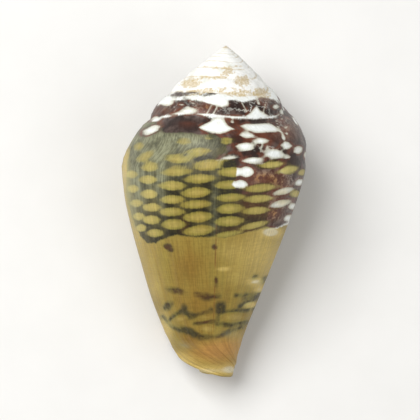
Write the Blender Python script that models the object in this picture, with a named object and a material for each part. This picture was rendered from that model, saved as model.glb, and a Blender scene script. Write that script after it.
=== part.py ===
"""A cone shell about 40 mm long, lying on its opening side.

The shell is one piece that grew as one spiral sheet. Here a section is carried round an axis and grows as it
turns, which gives the stepped spire, the rounded shoulder, the conical side, the free outer lip and the
narrow opening that winds in behind it. Lengths are metres, and growth is counted in turns back from the lip.
"""

import math

import bmesh
import bpy
from mathutils import Matrix, Vector

NAME = "shell"
COLLECTION = "cone_shell"
LENGTH = 0.040  # apex to base, along the axis

# Spire: the line where each turn meets the one before
TURN_GROWTH = 1.376  # how much the radius grows in one turn
SUTURE_RADIUS = 0.0089  # at the lip
SPIRE_SLOPE = 0.81  # depth over radius near the apex
SPIRE_DROOP = 3290.0  # how fast the spire steepens, per square metre
SUTURE_WANDER = 0.00062  # the suture's unevenness, up and down
WANDER_TURNS = 0.50  # length of one wave of it
WANDER_START = 0.385
WANDER_FADE_TURNS = 0.15  # the shoulder, which follows from the same line, stays even
SPIRE_TURNS = 8.5

# How far the ramp of a turn swells over the straight line from suture to shoulder
RAMP_SWELL = 0.095
RAMP_SWELL_AT_APEX = 0.050
SWELL_FADE_TURNS = 3.0

# Radius of the side over the radius of the shoulder, at these shares of the way down to the base
SIDE_STATIONS = (0.0, 0.06, 0.2, 0.5, 0.8, 1.0)
SIDE_AT_LIP = (1.0, 0.985, 0.936, 0.752, 0.503, 0.280)
SIDE_HALF_TURN_BACK = (1.0, 1.012, 0.935, 0.662, 0.353, 0.230)
SIDE_TURN_BACK = (1.0, 0.985, 0.910, 0.645, 0.322, 0.176)

# Outer lip
LIP_ANGLE = math.radians(-125.0)  # round the axis from the middle of the back
NOTCH_TURNS = 0.022  # how far the lip steps back between suture and shoulder
FOOT_TURNS = 0.42  # how far it has swept back where it meets the base
FOOT_START = 0.80  # share of the side where that sweep begins
FOOT_ARC = 0.93  # share of a quarter ellipse that the sweep follows
LIP_THICKNESS = 0.00055
WALL_THICKNESS = 0.00105
FOOT_THICKNESS = 0.00075
THICKENING_TURNS = 0.22

# Where the outer wall thins towards the foot, as shares of the side
FOOT_WALL_START = 0.60
FOOT_CLOSING_START = 0.75  # behind the foot of the lip, wall and column grow together from here down
FOOT_CLOSING_TURNS = 0.10
CEILING_BLEND = 0.55  # share of the ramp over which the hollow's roof rounds into the wall

# Hollow behind the lip
HOLLOW_TURNS = 0.80
CEILING = 0.018  # share of the side left solid under the suture
HOLLOW_END_DEPTH = 0.0315  # depth of the hollow's floor where it ends

# How the shell lies: turned about its own axis, then with the apex up
LIE_ROLL = math.radians(-4.7)
LIE_PITCH = math.radians(12.5)

# Facets
STEPS_PER_TURN = 56
RAMP_ROWS = 4
SIDE_ROWS = 15
HOLLOW_STEPS = 40
SLOPE_STEP = 0.004  # step in rows for reading the slope of the section
MERGE = 1e-6
SHARP_ANGLE = math.radians(40.0)

SHELL_COLOUR = (0.62, 0.50, 0.22, 1.0)
SHELL_ROUGHNESS = 0.35


def blend(a, b, share):
    """From a to b along a smooth step."""
    share = min(max(share, 0.0), 1.0)
    return a + (b - a) * share * share * (3.0 - 2.0 * share)


def curve_value(stations, values, at):
    """A smooth curve through the stations, read at one place."""
    last = len(stations) - 1
    i = max(k for k in range(last) if at >= stations[k] or k == 0)
    width = stations[i + 1] - stations[i]

    def slope(k):
        low, high = max(k - 1, 0), min(k + 1, last)
        return (values[high] - values[low]) / (stations[high] - stations[low])

    s = (at - stations[i]) / width
    first = (1.0 + 2.0 * s) * (1.0 - s) ** 2 * values[i] + s * (1.0 - s) ** 2 * width * slope(i)
    second = s * s * (3.0 - 2.0 * s) * values[i + 1] - s * s * (1.0 - s) * width * slope(i + 1)
    return first + second


def suture(turns):
    """Radius and depth of the suture, or of the shoulder one turn later."""
    radius = SUTURE_RADIUS * TURN_GROWTH**-turns
    depth = radius * (SPIRE_SLOPE + SPIRE_DROOP * radius * radius)
    wave = math.sin(2.0 * math.pi * (turns - WANDER_START) / WANDER_TURNS)
    wander = SUTURE_WANDER * wave * radius / SUTURE_RADIUS
    return radius, depth + blend(0.0, wander, turns / WANDER_FADE_TURNS)


def ramp(turns, share):
    """Radius and depth between the suture, share 0, and the shoulder, share 1."""
    top_radius, top_depth = suture(turns)
    low_radius, low_depth = suture(turns - 1.0)
    along_r, along_d = low_radius - top_radius, low_depth - top_depth
    swell = blend(RAMP_SWELL, RAMP_SWELL_AT_APEX, (turns - 1.0) / SWELL_FADE_TURNS)
    rise = 4.0 * swell * share * (1.0 - share)
    return top_radius + share * along_r + rise * along_d, top_depth + share * along_d - rise * along_r


def side(turns, share, floor=LENGTH):
    """Radius and depth between the shoulder, share 0, and the floor, share 1."""
    radius, depth = suture(turns - 1.0)
    reached = depth + share * (floor - depth)
    down = (reached - depth) / (LENGTH - depth)
    lip, half, full = (
        curve_value(SIDE_STATIONS, table, down)
        for table in (SIDE_AT_LIP, SIDE_HALF_TURN_BACK, SIDE_TURN_BACK)
    )
    factor = blend(lip, half, 2.0 * turns) if turns < 0.5 else blend(half, full, 2.0 * turns - 1.0)
    return radius * factor, reached


def profile(turns, row, floor=LENGTH):
    """Radius and depth on the outside: row -1 to 0 is the ramp, 0 to 1 the side."""
    return ramp(turns, row + 1.0) if row < 0.0 else side(turns, row, floor)


def lip_turns(row):
    """How far the lip, and each growth line, steps back at this row."""
    if row < 0.0:
        return NOTCH_TURNS * math.sin(math.pi * (row + 1.0)) ** 2
    swept = FOOT_ARC * max((row - FOOT_START) / (1.0 - FOOT_START), 0.0)
    return FOOT_TURNS * (1.0 - math.sqrt(1.0 - swept * swept)) / (1.0 - math.sqrt(1.0 - FOOT_ARC**2))


def hollow_floor(turns):
    """Depth where the hollow ends below: the base while the canal is open, and less behind it."""
    return blend(LENGTH, HOLLOW_END_DEPTH, (turns - FOOT_TURNS) / (HOLLOW_TURNS - FOOT_TURNS))


def wall(turns, row):
    """Thickness of the outer wall."""
    deep = blend(WALL_THICKNESS, FOOT_THICKNESS, (row - FOOT_WALL_START) / (1.0 - FOOT_WALL_START))
    return blend(LIP_THICKNESS, deep, (turns - lip_turns(row)) / THICKENING_TURNS)


def column(turns, row):
    """Radius and depth on the turn inside the hollow, from its ceiling, row 0, to its floor, row 1."""
    floor = hollow_floor(turns)
    return side(turns + 1.0, CEILING + (1.0 - CEILING) * row, floor)


def inside(turns, row):
    """Radius and depth on the inner face of the outer wall."""
    floor = hollow_floor(turns)
    above, below = profile(turns, row - SLOPE_STEP, floor), profile(turns, row + SLOPE_STEP, floor)
    across, down = below[0] - above[0], below[1] - above[1]
    inset = wall(turns, row) / math.hypot(across, down)
    radius, depth = profile(turns, row, floor)
    radius -= inset * down
    if row < 0.0:
        depth += inset * across
        roof_radius, roof_depth = column(turns, 0.0)
        share = (row + 1.0) / CEILING_BLEND
        return blend(roof_radius, radius, share), blend(roof_depth, depth, share)
    behind = (turns - FOOT_TURNS + FOOT_CLOSING_TURNS) / FOOT_CLOSING_TURNS
    low = (row - FOOT_CLOSING_START) / (1.0 - FOOT_CLOSING_START)
    closing = blend(0.0, 1.0, behind) * blend(0.0, 1.0, low)
    column_radius, column_depth = column(turns, row)
    return radius + closing * (column_radius - radius), depth + closing * (column_depth - depth)


def place(turns, point):
    """A point of the section, turned to its angle. The apex is at the origin and +Z faces the viewer."""
    angle = LIP_ANGLE + 2.0 * math.pi * turns
    radius, depth = point
    return Vector((radius * math.sin(angle), -depth, radius * math.cos(angle)))


def add_patch(bm, columns, rows, point, flip=False):
    """A grid of faces over the columns and rows, with each corner where point says."""
    corners = [[bm.verts.new(point(c, r)) for r in rows] for c in columns]
    for left, right in zip(corners, corners[1:]):
        for k in range(len(rows) - 1):
            quad = (left[k], left[k + 1], right[k + 1], right[k])
            bm.faces.new(quad[::-1] if flip else quad)
    return corners


def spaced(low, high, count):
    """Count steps from low to high, ends included."""
    return [low + (high - low) * k / count for k in range(count + 1)]


def side_rows():
    """Rows of the side, closer together towards the base, with one at the hollow's ceiling."""
    even = spaced(0.0, 1.0, SIDE_ROWS)
    return [0.0] + [CEILING + (1.0 - CEILING) * math.sin(0.5 * math.pi * s) for s in even]


def build_shell():
    """The closed solid, as a mesh in the shell's own frame."""
    bm = bmesh.new()
    ramp_rows = spaced(-1.0, 0.0, RAMP_ROWS)
    low_rows = side_rows()
    wall_rows = ramp_rows + low_rows[1:]
    turn = spaced(0.0, 1.0, STEPS_PER_TURN)
    spire = spaced(0.0, SPIRE_TURNS, round(SPIRE_TURNS * STEPS_PER_TURN))
    hollow = spaced(0.0, 1.0, HOLLOW_STEPS)

    def skin(grown, row):
        turns = grown + lip_turns(row)
        return place(turns, profile(turns, row))

    def back_from_lip(share, row):
        start = lip_turns(row)
        return start + share * (HOLLOW_TURNS - start)

    def lining(share, row):
        turns = back_from_lip(share, row)
        return place(turns, inside(turns, row))

    def core(share, row):
        turns = back_from_lip(share, row)
        return place(turns, column(turns, (row - CEILING) / (1.0 - CEILING)))

    add_patch(bm, spire, ramp_rows, skin)
    base_edge = [corners[-1] for corners in add_patch(bm, turn, low_rows, skin)]
    core_end = add_patch(bm, hollow, low_rows[1:], core)[-1]
    lining_end = add_patch(bm, hollow, wall_rows, lining, flip=True)[-1]
    add_patch(bm, (lining, skin), wall_rows, lambda surface, row: surface(0.0, row))
    bm.faces.new(base_edge)
    bm.faces.new(lining_end[::-1] + core_end)
    bmesh.ops.remove_doubles(bm, verts=bm.verts, dist=MERGE)
    cap_apex(bm)
    bmesh.ops.triangulate(bm, faces=[f for f in bm.faces if len(f.verts) > 3], ngon_method="BEAUTY")
    bmesh.ops.recalc_face_normals(bm, faces=bm.faces)
    return bm


def cap_apex(bm):
    """Close the spire's open top with a fan of faces that meet at the tip."""
    rim = [edge for edge in bm.edges if edge.is_boundary]
    tip = bm.verts.new((0.0, 0.0, 0.0))
    for edge in rim:
        bm.faces.new((*edge.verts, tip))


def lay_down(bm):
    """Turn the shell as it lies, and stand it on the floor with its box centred on the origin."""
    turned = Matrix.Rotation(LIE_PITCH, 4, "X") @ Matrix.Rotation(LIE_ROLL, 4, "Y")
    bmesh.ops.transform(bm, matrix=turned, verts=bm.verts)
    spans = [(min(v.co[i] for v in bm.verts), max(v.co[i] for v in bm.verts)) for i in range(3)]
    middle = Vector([0.5 * (low + high) for low, high in spans[:2]] + [spans[2][0]])
    bmesh.ops.translate(bm, vec=-middle, verts=bm.verts)


def shell_material():
    """Pale horny yellow, with a low gloss."""
    material = bpy.data.materials.new("shell")
    material.use_nodes = True
    finish = material.node_tree.nodes["Principled BSDF"]
    finish.inputs["Base Color"].default_value = SHELL_COLOUR
    finish.inputs["Roughness"].default_value = SHELL_ROUGHNESS
    finish.inputs["Metallic"].default_value = 0.0
    return material


def main():
    for old in list(bpy.data.objects):
        bpy.data.objects.remove(old)
    bm = build_shell()
    lay_down(bm)
    mesh = bpy.data.meshes.new(NAME)
    bm.to_mesh(mesh)
    bm.free()
    mesh.materials.append(shell_material())
    mesh.shade_smooth()
    mesh.set_sharp_from_angle(angle=SHARP_ANGLE)
    shell = bpy.data.objects.new(NAME, mesh)
    group = bpy.data.collections.new(COLLECTION)
    bpy.context.scene.collection.children.link(group)
    group.objects.link(shell)


main()
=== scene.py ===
"""A cone shell lying back upwards on a pale floor, seen from above with its spire away from the viewer.

The shell's skin follows the same law of growth as its solid: a section is carried round the axis and grows
as it turns. The skin is finer than the solid and carries what the solid leaves out: growth lines, spiral
threads, the worn spire, the chipped shoulder and the thin rounded lip. The colours on the back follow marks
that were placed against the photograph, and the rest carries their pattern on. No picture is read.
"""
from __future__ import annotations

import logging
import math
from dataclasses import dataclass, field
from enum import Enum

import bpy
import numpy as np
from mathutils import Matrix, Vector

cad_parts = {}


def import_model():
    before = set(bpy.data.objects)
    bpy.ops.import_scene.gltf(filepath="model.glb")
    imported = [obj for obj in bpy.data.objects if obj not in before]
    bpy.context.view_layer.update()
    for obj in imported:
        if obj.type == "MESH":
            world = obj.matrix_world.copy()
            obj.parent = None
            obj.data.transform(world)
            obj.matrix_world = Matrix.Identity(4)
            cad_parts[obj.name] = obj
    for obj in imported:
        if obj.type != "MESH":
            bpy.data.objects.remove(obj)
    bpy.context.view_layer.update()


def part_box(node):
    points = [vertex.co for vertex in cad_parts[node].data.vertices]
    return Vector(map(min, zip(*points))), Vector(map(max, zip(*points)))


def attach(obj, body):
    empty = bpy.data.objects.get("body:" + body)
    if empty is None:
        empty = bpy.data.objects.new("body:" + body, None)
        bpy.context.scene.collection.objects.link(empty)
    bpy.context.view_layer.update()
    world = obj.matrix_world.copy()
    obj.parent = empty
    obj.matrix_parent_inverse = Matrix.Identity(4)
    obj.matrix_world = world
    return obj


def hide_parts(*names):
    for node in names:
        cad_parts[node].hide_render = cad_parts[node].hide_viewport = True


log = logging.getLogger("cone_shell")

Pair = tuple[np.ndarray, np.ndarray]
Point = tuple[np.ndarray, np.ndarray, np.ndarray]
Fields = dict[str, np.ndarray]
Corner = tuple[float, float]
Span = tuple[float, float]
Tone = tuple[float, float, float]
Socket = bpy.types.NodeSocket
# in quotes because Signal is defined further down
Value = "Signal | float | Tone"

GROWTH_MAP = "growth"
BUMP_DISTANCE = 0.00003


def smooth_step(share: np.ndarray) -> np.ndarray:
    """Step from 0, at a share of 0 or less, to 1, at a share of 1 or more, with soft ends."""
    share = np.clip(share, 0.0, 1.0)
    return share * share * (3.0 - 2.0 * share)


def blend(a: np.ndarray, b: np.ndarray, share: np.ndarray) -> np.ndarray:
    """Go from a, before a soft step, to b, after it."""
    return a + (b - a) * smooth_step(share)


def curve_value(stations: tuple[float, ...], values: tuple[float, ...], at: np.ndarray) -> np.ndarray:
    """Read a smooth curve through a few stations.

    Args:
        stations: The places where the curve is known, in rising order.
        values: Its value at each station.
        at: The places to read.

    Returns:
        The curve's value at each place.
    """
    x, y = np.array(stations), np.array(values)
    last = len(x) - 1
    low = np.clip(np.arange(last + 1) - 1, 0, last)
    high = np.clip(np.arange(last + 1) + 1, 0, last)
    slope = (y[high] - y[low]) / (x[high] - x[low])
    i = np.clip(np.searchsorted(x, at, side="right") - 1, 0, last - 1)
    width = x[i + 1] - x[i]
    s = (at - x[i]) / width
    first = (1.0 + 2.0 * s) * (1.0 - s) ** 2 * y[i] + s * (1.0 - s) ** 2 * width * slope[i]
    second = s * s * (3.0 - 2.0 * s) * y[i + 1] - s * s * (1.0 - s) * width * slope[i + 1]
    return first + second


@dataclass(frozen=True)
class GrowthLaw:
    """The shell's law of growth, in metres and in turns back from the lip.

    A row says where on the growing edge a point lies: -1 at the suture, 0 at the shoulder and 1 at the base.
    """

    length: float = 0.040
    turn_growth: float = 1.376
    suture_radius: float = 0.0089
    spire_slope: float = 0.81
    spire_droop: float = 3290.0
    suture_wander: float = 0.00062
    wander_turns: float = 0.50
    wander_start: float = 0.385
    wander_fade_turns: float = 0.15
    ramp_swell: float = 0.095
    ramp_swell_at_apex: float = 0.050
    swell_fade_turns: float = 3.0
    side_stations: tuple[float, ...] = (0.0, 0.06, 0.2, 0.5, 0.8, 1.0)
    side_at_lip: tuple[float, ...] = (1.0, 0.985, 0.936, 0.752, 0.503, 0.280)
    side_half_turn_back: tuple[float, ...] = (1.0, 1.012, 0.935, 0.662, 0.353, 0.230)
    side_turn_back: tuple[float, ...] = (1.0, 0.985, 0.910, 0.645, 0.322, 0.176)
    lip_angle: float = math.radians(-125.0)
    notch_turns: float = 0.022
    foot_turns: float = 0.42
    foot_start: float = 0.80
    foot_arc: float = 0.93
    lip_edge: float = 0.00018
    edge_round_turns: float = 0.022
    lip_thickness: float = 0.00055
    wall_thickness: float = 0.00105
    foot_thickness: float = 0.00075
    thickening_turns: float = 0.22
    foot_wall_start: float = 0.60
    foot_closing_start: float = 0.75
    foot_closing_turns: float = 0.10
    ceiling_blend: float = 0.55
    hollow_turns: float = 0.80
    ceiling: float = 0.018
    hollow_end_depth: float = 0.0315
    base_round: float = 0.00016
    slope_step: float = 0.004
    low_swell: float = 0.00020
    low_swell_depths: tuple[float, ...] = (0.026, 0.032, 0.040)
    sway: float = 0.00015
    sway_depths: tuple[float, ...] = (0.0015, 0.0040, 0.0080, 0.0120)
    rim_lift: float = 0.00016
    rim_dip: float = 0.00036
    rim_depths: tuple[float, ...] = (0.0345, 0.0395)

    def suture(self, turns: np.ndarray) -> Pair:
        """Find the suture, or the shoulder one turn later.

        Args:
            turns: Turns back from the lip.

        Returns:
            Its radius and its depth below the apex.
        """
        radius = self.suture_radius * self.turn_growth**-turns
        depth = radius * (self.spire_slope + self.spire_droop * radius * radius)
        wave = np.sin(2.0 * math.pi * (turns - self.wander_start) / self.wander_turns)
        wander = self.suture_wander * wave * radius / self.suture_radius
        return radius, depth + blend(0.0, wander, turns / self.wander_fade_turns)

    def ramp(self, turns: np.ndarray, share: np.ndarray) -> Pair:
        """Find a point between the suture and the shoulder.

        Args:
            turns: Turns back from the lip.
            share: 0 at the suture and 1 at the shoulder.

        Returns:
            Its radius and depth.
        """
        top_radius, top_depth = self.suture(turns)
        low_radius, low_depth = self.suture(turns - 1.0)
        along_r, along_d = low_radius - top_radius, low_depth - top_depth
        swell = blend(self.ramp_swell, self.ramp_swell_at_apex, (turns - 1.0) / self.swell_fade_turns)
        rise = 4.0 * swell * share * (1.0 - share)
        return top_radius + share * along_r + rise * along_d, top_depth + share * along_d - rise * along_r

    def side(self, turns: np.ndarray, share: np.ndarray, floor: np.ndarray | float) -> Pair:
        """Find a point between the shoulder and a floor.

        Args:
            turns: Turns back from the lip.
            share: 0 at the shoulder and 1 at the floor.
            floor: The floor's depth.

        Returns:
            Its radius and depth.
        """
        radius, depth = self.suture(turns - 1.0)
        reached = depth + share * (floor - depth)
        down = (reached - depth) / (self.length - depth)
        lip = curve_value(self.side_stations, self.side_at_lip, down)
        half = curve_value(self.side_stations, self.side_half_turn_back, down)
        full = curve_value(self.side_stations, self.side_turn_back, down)
        factor = np.where(turns < 0.5, blend(lip, half, 2.0 * turns), blend(half, full, 2.0 * turns - 1.0))
        near_base = np.clip((reached - self.length + self.base_round) / self.base_round, 0.0, 1.0)
        rounding = self.base_round * (1.0 - np.sqrt(1.0 - near_base * near_base))
        start, most, end = self.low_swell_depths
        swell = self.low_swell * smooth_step((reached - start) / (most - start))
        swell = swell * (1.0 - 0.5 * smooth_step((reached - most) / (end - most)))
        return radius * factor + swell - rounding, reached

    def section(self, turns: np.ndarray, row: np.ndarray, floor: np.ndarray | float) -> Pair:
        """Find a point of the outside by its row.

        Args:
            turns: Turns back from the lip.
            row: From -1 at the suture to 1 at the floor.
            floor: The floor's depth.

        Returns:
            Its radius and depth.
        """
        ramp_r, ramp_d = self.ramp(turns, np.clip(row, -1.1, 0.0) + 1.0)
        side_r, side_d = self.side(turns, np.clip(row, 0.0, 1.0), floor)
        return np.where(row < 0.0, ramp_r, side_r), np.where(row < 0.0, ramp_d, side_d)

    def lip_turns(self, row: np.ndarray) -> np.ndarray:
        """Say how far the lip and each growth line step back at a row.

        Args:
            row: The row.

        Returns:
            The step back, in turns.
        """
        notch = self.notch_turns * np.sin(math.pi * (np.clip(row, -1.0, 0.0) + 1.0)) ** 2
        swept = self.foot_arc * np.clip((row - self.foot_start) / (1.0 - self.foot_start), 0.0, 1.0)
        foot = (1.0 - np.sqrt(1.0 - swept * swept)) / (1.0 - math.sqrt(1.0 - self.foot_arc**2))
        return np.where(row < 0.0, notch, self.foot_turns * foot)

    def hollow_floor(self, turns: np.ndarray) -> np.ndarray:
        """Give the depth where the hollow ends below."""
        behind = (turns - self.foot_turns) / (self.hollow_turns - self.foot_turns)
        return blend(self.length, self.hollow_end_depth, behind)

    def wall(self, turns: np.ndarray, row: np.ndarray) -> np.ndarray:
        """Give the outer wall's thickness, down to the lip's rounded edge.

        Args:
            turns: Turns back from the lip's shoulder.
            row: The row.

        Returns:
            The thickness.
        """
        back = turns - self.lip_turns(row)
        low = (row - self.foot_wall_start) / (1.0 - self.foot_wall_start)
        deep = blend(self.wall_thickness, self.foot_thickness, low)
        full = blend(self.lip_thickness, deep, back / self.thickening_turns)
        short = 1.0 - np.clip(back / self.edge_round_turns, 0.0, 1.0)
        return self.lip_edge + (full - self.lip_edge) * np.sqrt(1.0 - short * short)

    def column(self, turns: np.ndarray, row: np.ndarray) -> Pair:
        """Find the radius and depth of a point of the turn inside, by its row from the hollow's ceiling."""
        share = self.ceiling + (1.0 - self.ceiling) * row
        return self.side(turns + 1.0, share, self.hollow_floor(turns))

    def inside(self, turns: np.ndarray, row: np.ndarray) -> Pair:
        """Find a point of the outer wall's inner face.

        Args:
            turns: Turns back from the lip.
            row: The row.

        Returns:
            Its radius and depth.
        """
        floor = self.hollow_floor(turns)
        above = self.section(turns, row - self.slope_step, floor)
        below = self.section(turns, np.minimum(row + self.slope_step, 1.0), floor)
        across, down = below[0] - above[0], below[1] - above[1]
        inset = self.wall(turns, row) / np.hypot(across, down)
        radius, depth = self.section(turns, row, floor)
        radius = radius - inset * down
        on_ramp = row < 0.0
        ramp_depth = depth + inset * across
        roof_r, roof_d = self.column(turns, np.zeros_like(row))
        share = (row + 1.0) / self.ceiling_blend
        behind = (turns - self.foot_turns + self.foot_closing_turns) / self.foot_closing_turns
        low = (row - self.foot_closing_start) / (1.0 - self.foot_closing_start)
        closing = smooth_step(behind) * np.clip(low, 0.0, 1.0) ** 2
        foot_r, foot_d = self.column(turns, np.clip(row, 0.0, 1.0))
        side_r, side_d = radius + closing * (foot_r - radius), depth + closing * (foot_d - depth)
        return (
            np.where(on_ramp, blend(roof_r, radius, share), side_r),
            np.where(on_ramp, blend(roof_d, ramp_depth, share), side_d),
        )

    def place(self, turns: np.ndarray, radius: np.ndarray, depth: np.ndarray) -> np.ndarray:
        """Turn a point of the section to its angle.

        Args:
            turns: Turns back from the lip.
            radius: Distance from the axis.
            depth: Depth below the apex.

        Returns:
            Points with the apex at the origin, the base at -Y and the middle of the back at +Z.
        """
        angle = self.lip_angle + 2.0 * math.pi * turns
        a, b, c, d = self.sway_depths
        aside = self.sway * smooth_step((depth - a) / (b - a)) * (1.0 - smooth_step((depth - c) / (d - c)))
        low = smooth_step((depth - self.rim_depths[0]) / (self.rim_depths[1] - self.rim_depths[0]))
        deeper = low * (self.rim_dip * np.maximum(np.sin(angle), 0.0) ** 2 - self.rim_lift)
        return np.stack((radius * np.sin(angle) - aside, -depth - deeper, radius * np.cos(angle)), axis=-1)


@dataclass(frozen=True)
class Relief:
    """The low relief that growth, wear and chips leave on the outside, in metres and turns."""

    wave_height: float = 0.00005
    waves_per_turn: float = 34.0
    line_height: float = 0.000022
    lines_per_turn: float = 150.0
    break_turns: float = 0.342
    break_height: float = 0.00007
    break_width: float = 0.012
    thread_height: float = 0.000020
    threads: float = 7.0
    cord_height: float = 0.000045
    cords: float = 15.0
    cord_start: float = 0.72
    worn_height: float = 0.00007
    spire_wear_turns: float = 0.3
    shoulder_wear: float = 0.35
    shoulder_wear_end: float = 0.08
    shoulder_wear_rows: float = 0.2
    pits_per_turn: float = 40.0
    pits_per_row: float = 7.0
    chips_per_turn: float = 26.0
    chip_start: float = 0.30
    chip_fade: float = 0.2
    chip_depth: float = 0.00022
    chip_rows: float = 0.075
    chip_cut: float = 0.42
    seam_rows: float = 0.10
    base_rows: float = 0.015
    covered_start: float = 0.96
    covered_fade: float = 0.04
    dent_depth: float = 0.00034
    dent_turns: float = 0.592
    dent_width: float = 0.030
    dent_row: float = 0.045
    dent_rows: float = 0.030
    fade_turns: float = 0.06
    line_knots: int = 4096
    plane_knots: int = 256
    seed: int = 7

    def noise(self, at: np.ndarray, salt: int) -> np.ndarray:
        """Give smooth noise along a line.

        Args:
            at: Places on the line.
            salt: Which noise.

        Returns:
            Values from -1 to 1.
        """
        count = self.line_knots
        knots = np.random.default_rng(self.seed + salt).uniform(-1.0, 1.0, count)
        low = np.floor(at).astype(int)
        share = smooth_step(at - low)
        return knots[low % count] * (1.0 - share) + knots[(low + 1) % count] * share

    def noise_2d(self, x: np.ndarray, y: np.ndarray, salt: int) -> np.ndarray:
        """Give smooth noise over a plane.

        Args:
            x: First coordinate.
            y: Second coordinate.
            salt: Which noise.

        Returns:
            Values from -1 to 1.
        """
        count = self.plane_knots
        knots = np.random.default_rng(self.seed + salt).uniform(-1.0, 1.0, (count, count))
        low_x, low_y = np.floor(x).astype(int), np.floor(y).astype(int)
        sx, sy = smooth_step(x - low_x), smooth_step(y - low_y)
        left, right, first, last = low_x % count, (low_x + 1) % count, low_y % count, (low_y + 1) % count
        near = knots[left, first] * (1.0 - sx) + knots[right, first] * sx
        far = knots[left, last] * (1.0 - sx) + knots[right, last] * sx
        return near * (1.0 - sy) + far * sy

    def height(self, law: GrowthLaw, turns: np.ndarray, row: np.ndarray) -> np.ndarray:
        """Say how far the skin stands off its law of growth.

        Args:
            law: The law of growth.
            turns: Turns back from the lip.
            row: The row.

        Returns:
            The height of the relief, outwards.
        """
        scale = law.turn_growth ** -np.maximum(turns - 1.0, 0.0)
        line = turns - law.lip_turns(row)
        waves = self.noise(line * self.waves_per_turn, 1) * self.wave_height
        lines = self.noise(line * self.lines_per_turn, 2) * self.line_height
        past = (line - self.break_turns) / self.break_width
        step = self.break_height * np.exp(-np.maximum(past, 0.0)) * (past > 0.0)
        ramp_share = np.clip(row + 1.0, 0.0, 1.0)
        threads = self.thread_height * np.cos(2.0 * math.pi * self.threads * ramp_share) * (row < 0.0)
        low = smooth_step((row - self.cord_start) / (1.0 - self.cord_start))
        cords = self.cord_height * low * np.cos(2.0 * math.pi * self.cords * row)
        worn_shoulder = smooth_step((self.shoulder_wear_end - row) / self.shoulder_wear_rows)
        worn = smooth_step((turns - 1.0) / self.spire_wear_turns) + self.shoulder_wear * worn_shoulder
        pits = self.worn_height * worn * self.noise_2d(turns * self.pits_per_turn, row * self.pits_per_row, 3)
        at_shoulder = np.exp(-((row / self.chip_rows) ** 2))
        chipped = np.maximum(self.noise(turns * self.chips_per_turn, 4) - self.chip_cut, 0.0)
        chips = self.chip_depth * chipped / (1.0 - self.chip_cut) * at_shoulder
        chips = chips * smooth_step((turns - self.chip_start) / self.chip_fade)
        off_turns = (turns - self.dent_turns) / self.dent_width
        off_row = (row - self.dent_row) / self.dent_rows
        dent = self.dent_depth * np.exp(-(off_turns**2) - off_row**2)
        relief = waves + lines + step + threads + cords + pits - chips - dent
        top = smooth_step((row + 1.0) / self.seam_rows)
        covered = smooth_step((turns - self.covered_start) / self.covered_fade)
        at_seam = 1.0 - smooth_step((np.abs(row) - law.ceiling) / self.seam_rows)
        at_base = smooth_step((row - 1.0 + self.base_rows) / self.base_rows)
        return relief * scale * top * (1.0 - covered * at_seam) * (1.0 - at_base)


@dataclass(frozen=True)
class Lie:
    """How the shell lies: turned about its own axis, then with the spire's tip raised."""

    roll: float = math.radians(-4.7)
    pitch: float = math.radians(12.5)

    def matrix(self) -> Matrix:
        """Give the turn from the shell's own frame to the part's."""
        return Matrix.Rotation(self.pitch, 4, "X") @ Matrix.Rotation(self.roll, 4, "Y")


@dataclass(frozen=True)
class View:
    """How the photograph sees the shell: almost straight down, with the spire leaning a little to the viewer.

    The camera's place is worked out from where the shell's tip lies in the picture.
    """

    lie: Lie = field(default_factory=Lie)
    lean_to_viewer: float = math.radians(8.5)
    lean_in_picture: float = math.atan(0.040)
    picture: float = 420.0
    tip_across: float = 226.0
    tip_down: float = 45.0
    length_in_picture: float = 331.0
    distance: float = 0.45

    def axes(self) -> tuple[Vector, Vector, Vector]:
        """Give the picture's right and up directions, and the way to the viewer, in the part's frame."""
        turn = self.lie.matrix().to_3x3()
        cos, sin = math.cos(self.lean_to_viewer), math.sin(self.lean_to_viewer)
        across, up, towards = Vector((1.0, 0.0, 0.0)), Vector((0.0, cos, -sin)), Vector((0.0, sin, cos))
        cos, sin = math.cos(self.lean_in_picture), math.sin(self.lean_in_picture)
        return turn @ (cos * across + sin * up), turn @ (cos * up - sin * across), turn @ towards

    def pixels_per_metre(self, length: float) -> float:
        """Give the picture's scale at the tip, for a shell of this length."""
        return self.length_in_picture / (length * math.cos(self.lean_to_viewer))

    def eye(self, tip: Vector, length: float) -> Vector:
        """Find the camera.

        Args:
            tip: Where the spire's tip is.
            length: The shell's length along its axis.

        Returns:
            The camera's place.
        """
        right, up, towards = self.axes()
        scale = self.pixels_per_metre(length)
        half = 0.5 * self.picture
        aim = tip - right * (self.tip_across - half) / scale + up * (self.tip_down - half) / scale
        return aim + towards * self.distance

    def project(self, points: np.ndarray, tip: Vector, length: float) -> Pair:
        """Find where points lie in the picture.

        Args:
            points: Places in the part's frame.
            tip: Where the spire's tip is.
            length: The shell's length along its axis.

        Returns:
            Pixels across from the picture's left edge and down from its top.
        """
        right, up, towards = (np.array(axis) for axis in self.axes())
        away = points - np.array(self.eye(tip, length))
        scale = self.distance * self.pixels_per_metre(length) / -(away @ towards)
        return 0.5 * self.picture + scale * (away @ right), 0.5 * self.picture - scale * (away @ up)


class Coat(Enum):
    """Whether a pale mark still has the yellow skin that covered the living shell."""

    AS_AROUND = "as around it"
    WORN_OFF = "worn off"
    KEPT = "kept"


BARE, COVERED = Coat.WORN_OFF, Coat.KEPT


@dataclass(frozen=True)
class Spot:
    """A mark with pointed ends, in the picture's pixels."""

    across: float
    down: float
    wide: float
    tall: float
    slant: float = 0.0
    coat: Coat = Coat.AS_AROUND
    bluntness: float = 1.75

    def inside(self, x: np.ndarray, y: np.ndarray) -> np.ndarray:
        """Say how far inside the mark places lie, in pixels, and less than 0 outside it."""
        cos, sin = math.cos(math.radians(self.slant)), math.sin(math.radians(self.slant))
        dx, dy = x - self.across, y - self.down
        along = np.abs(dx * cos - dy * sin) / self.wide
        over = np.abs(dx * sin + dy * cos) / self.tall
        reach = (along**self.bluntness + over**self.bluntness) ** (1.0 / self.bluntness)
        return (1.0 - reach) * min(self.wide, self.tall)


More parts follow.
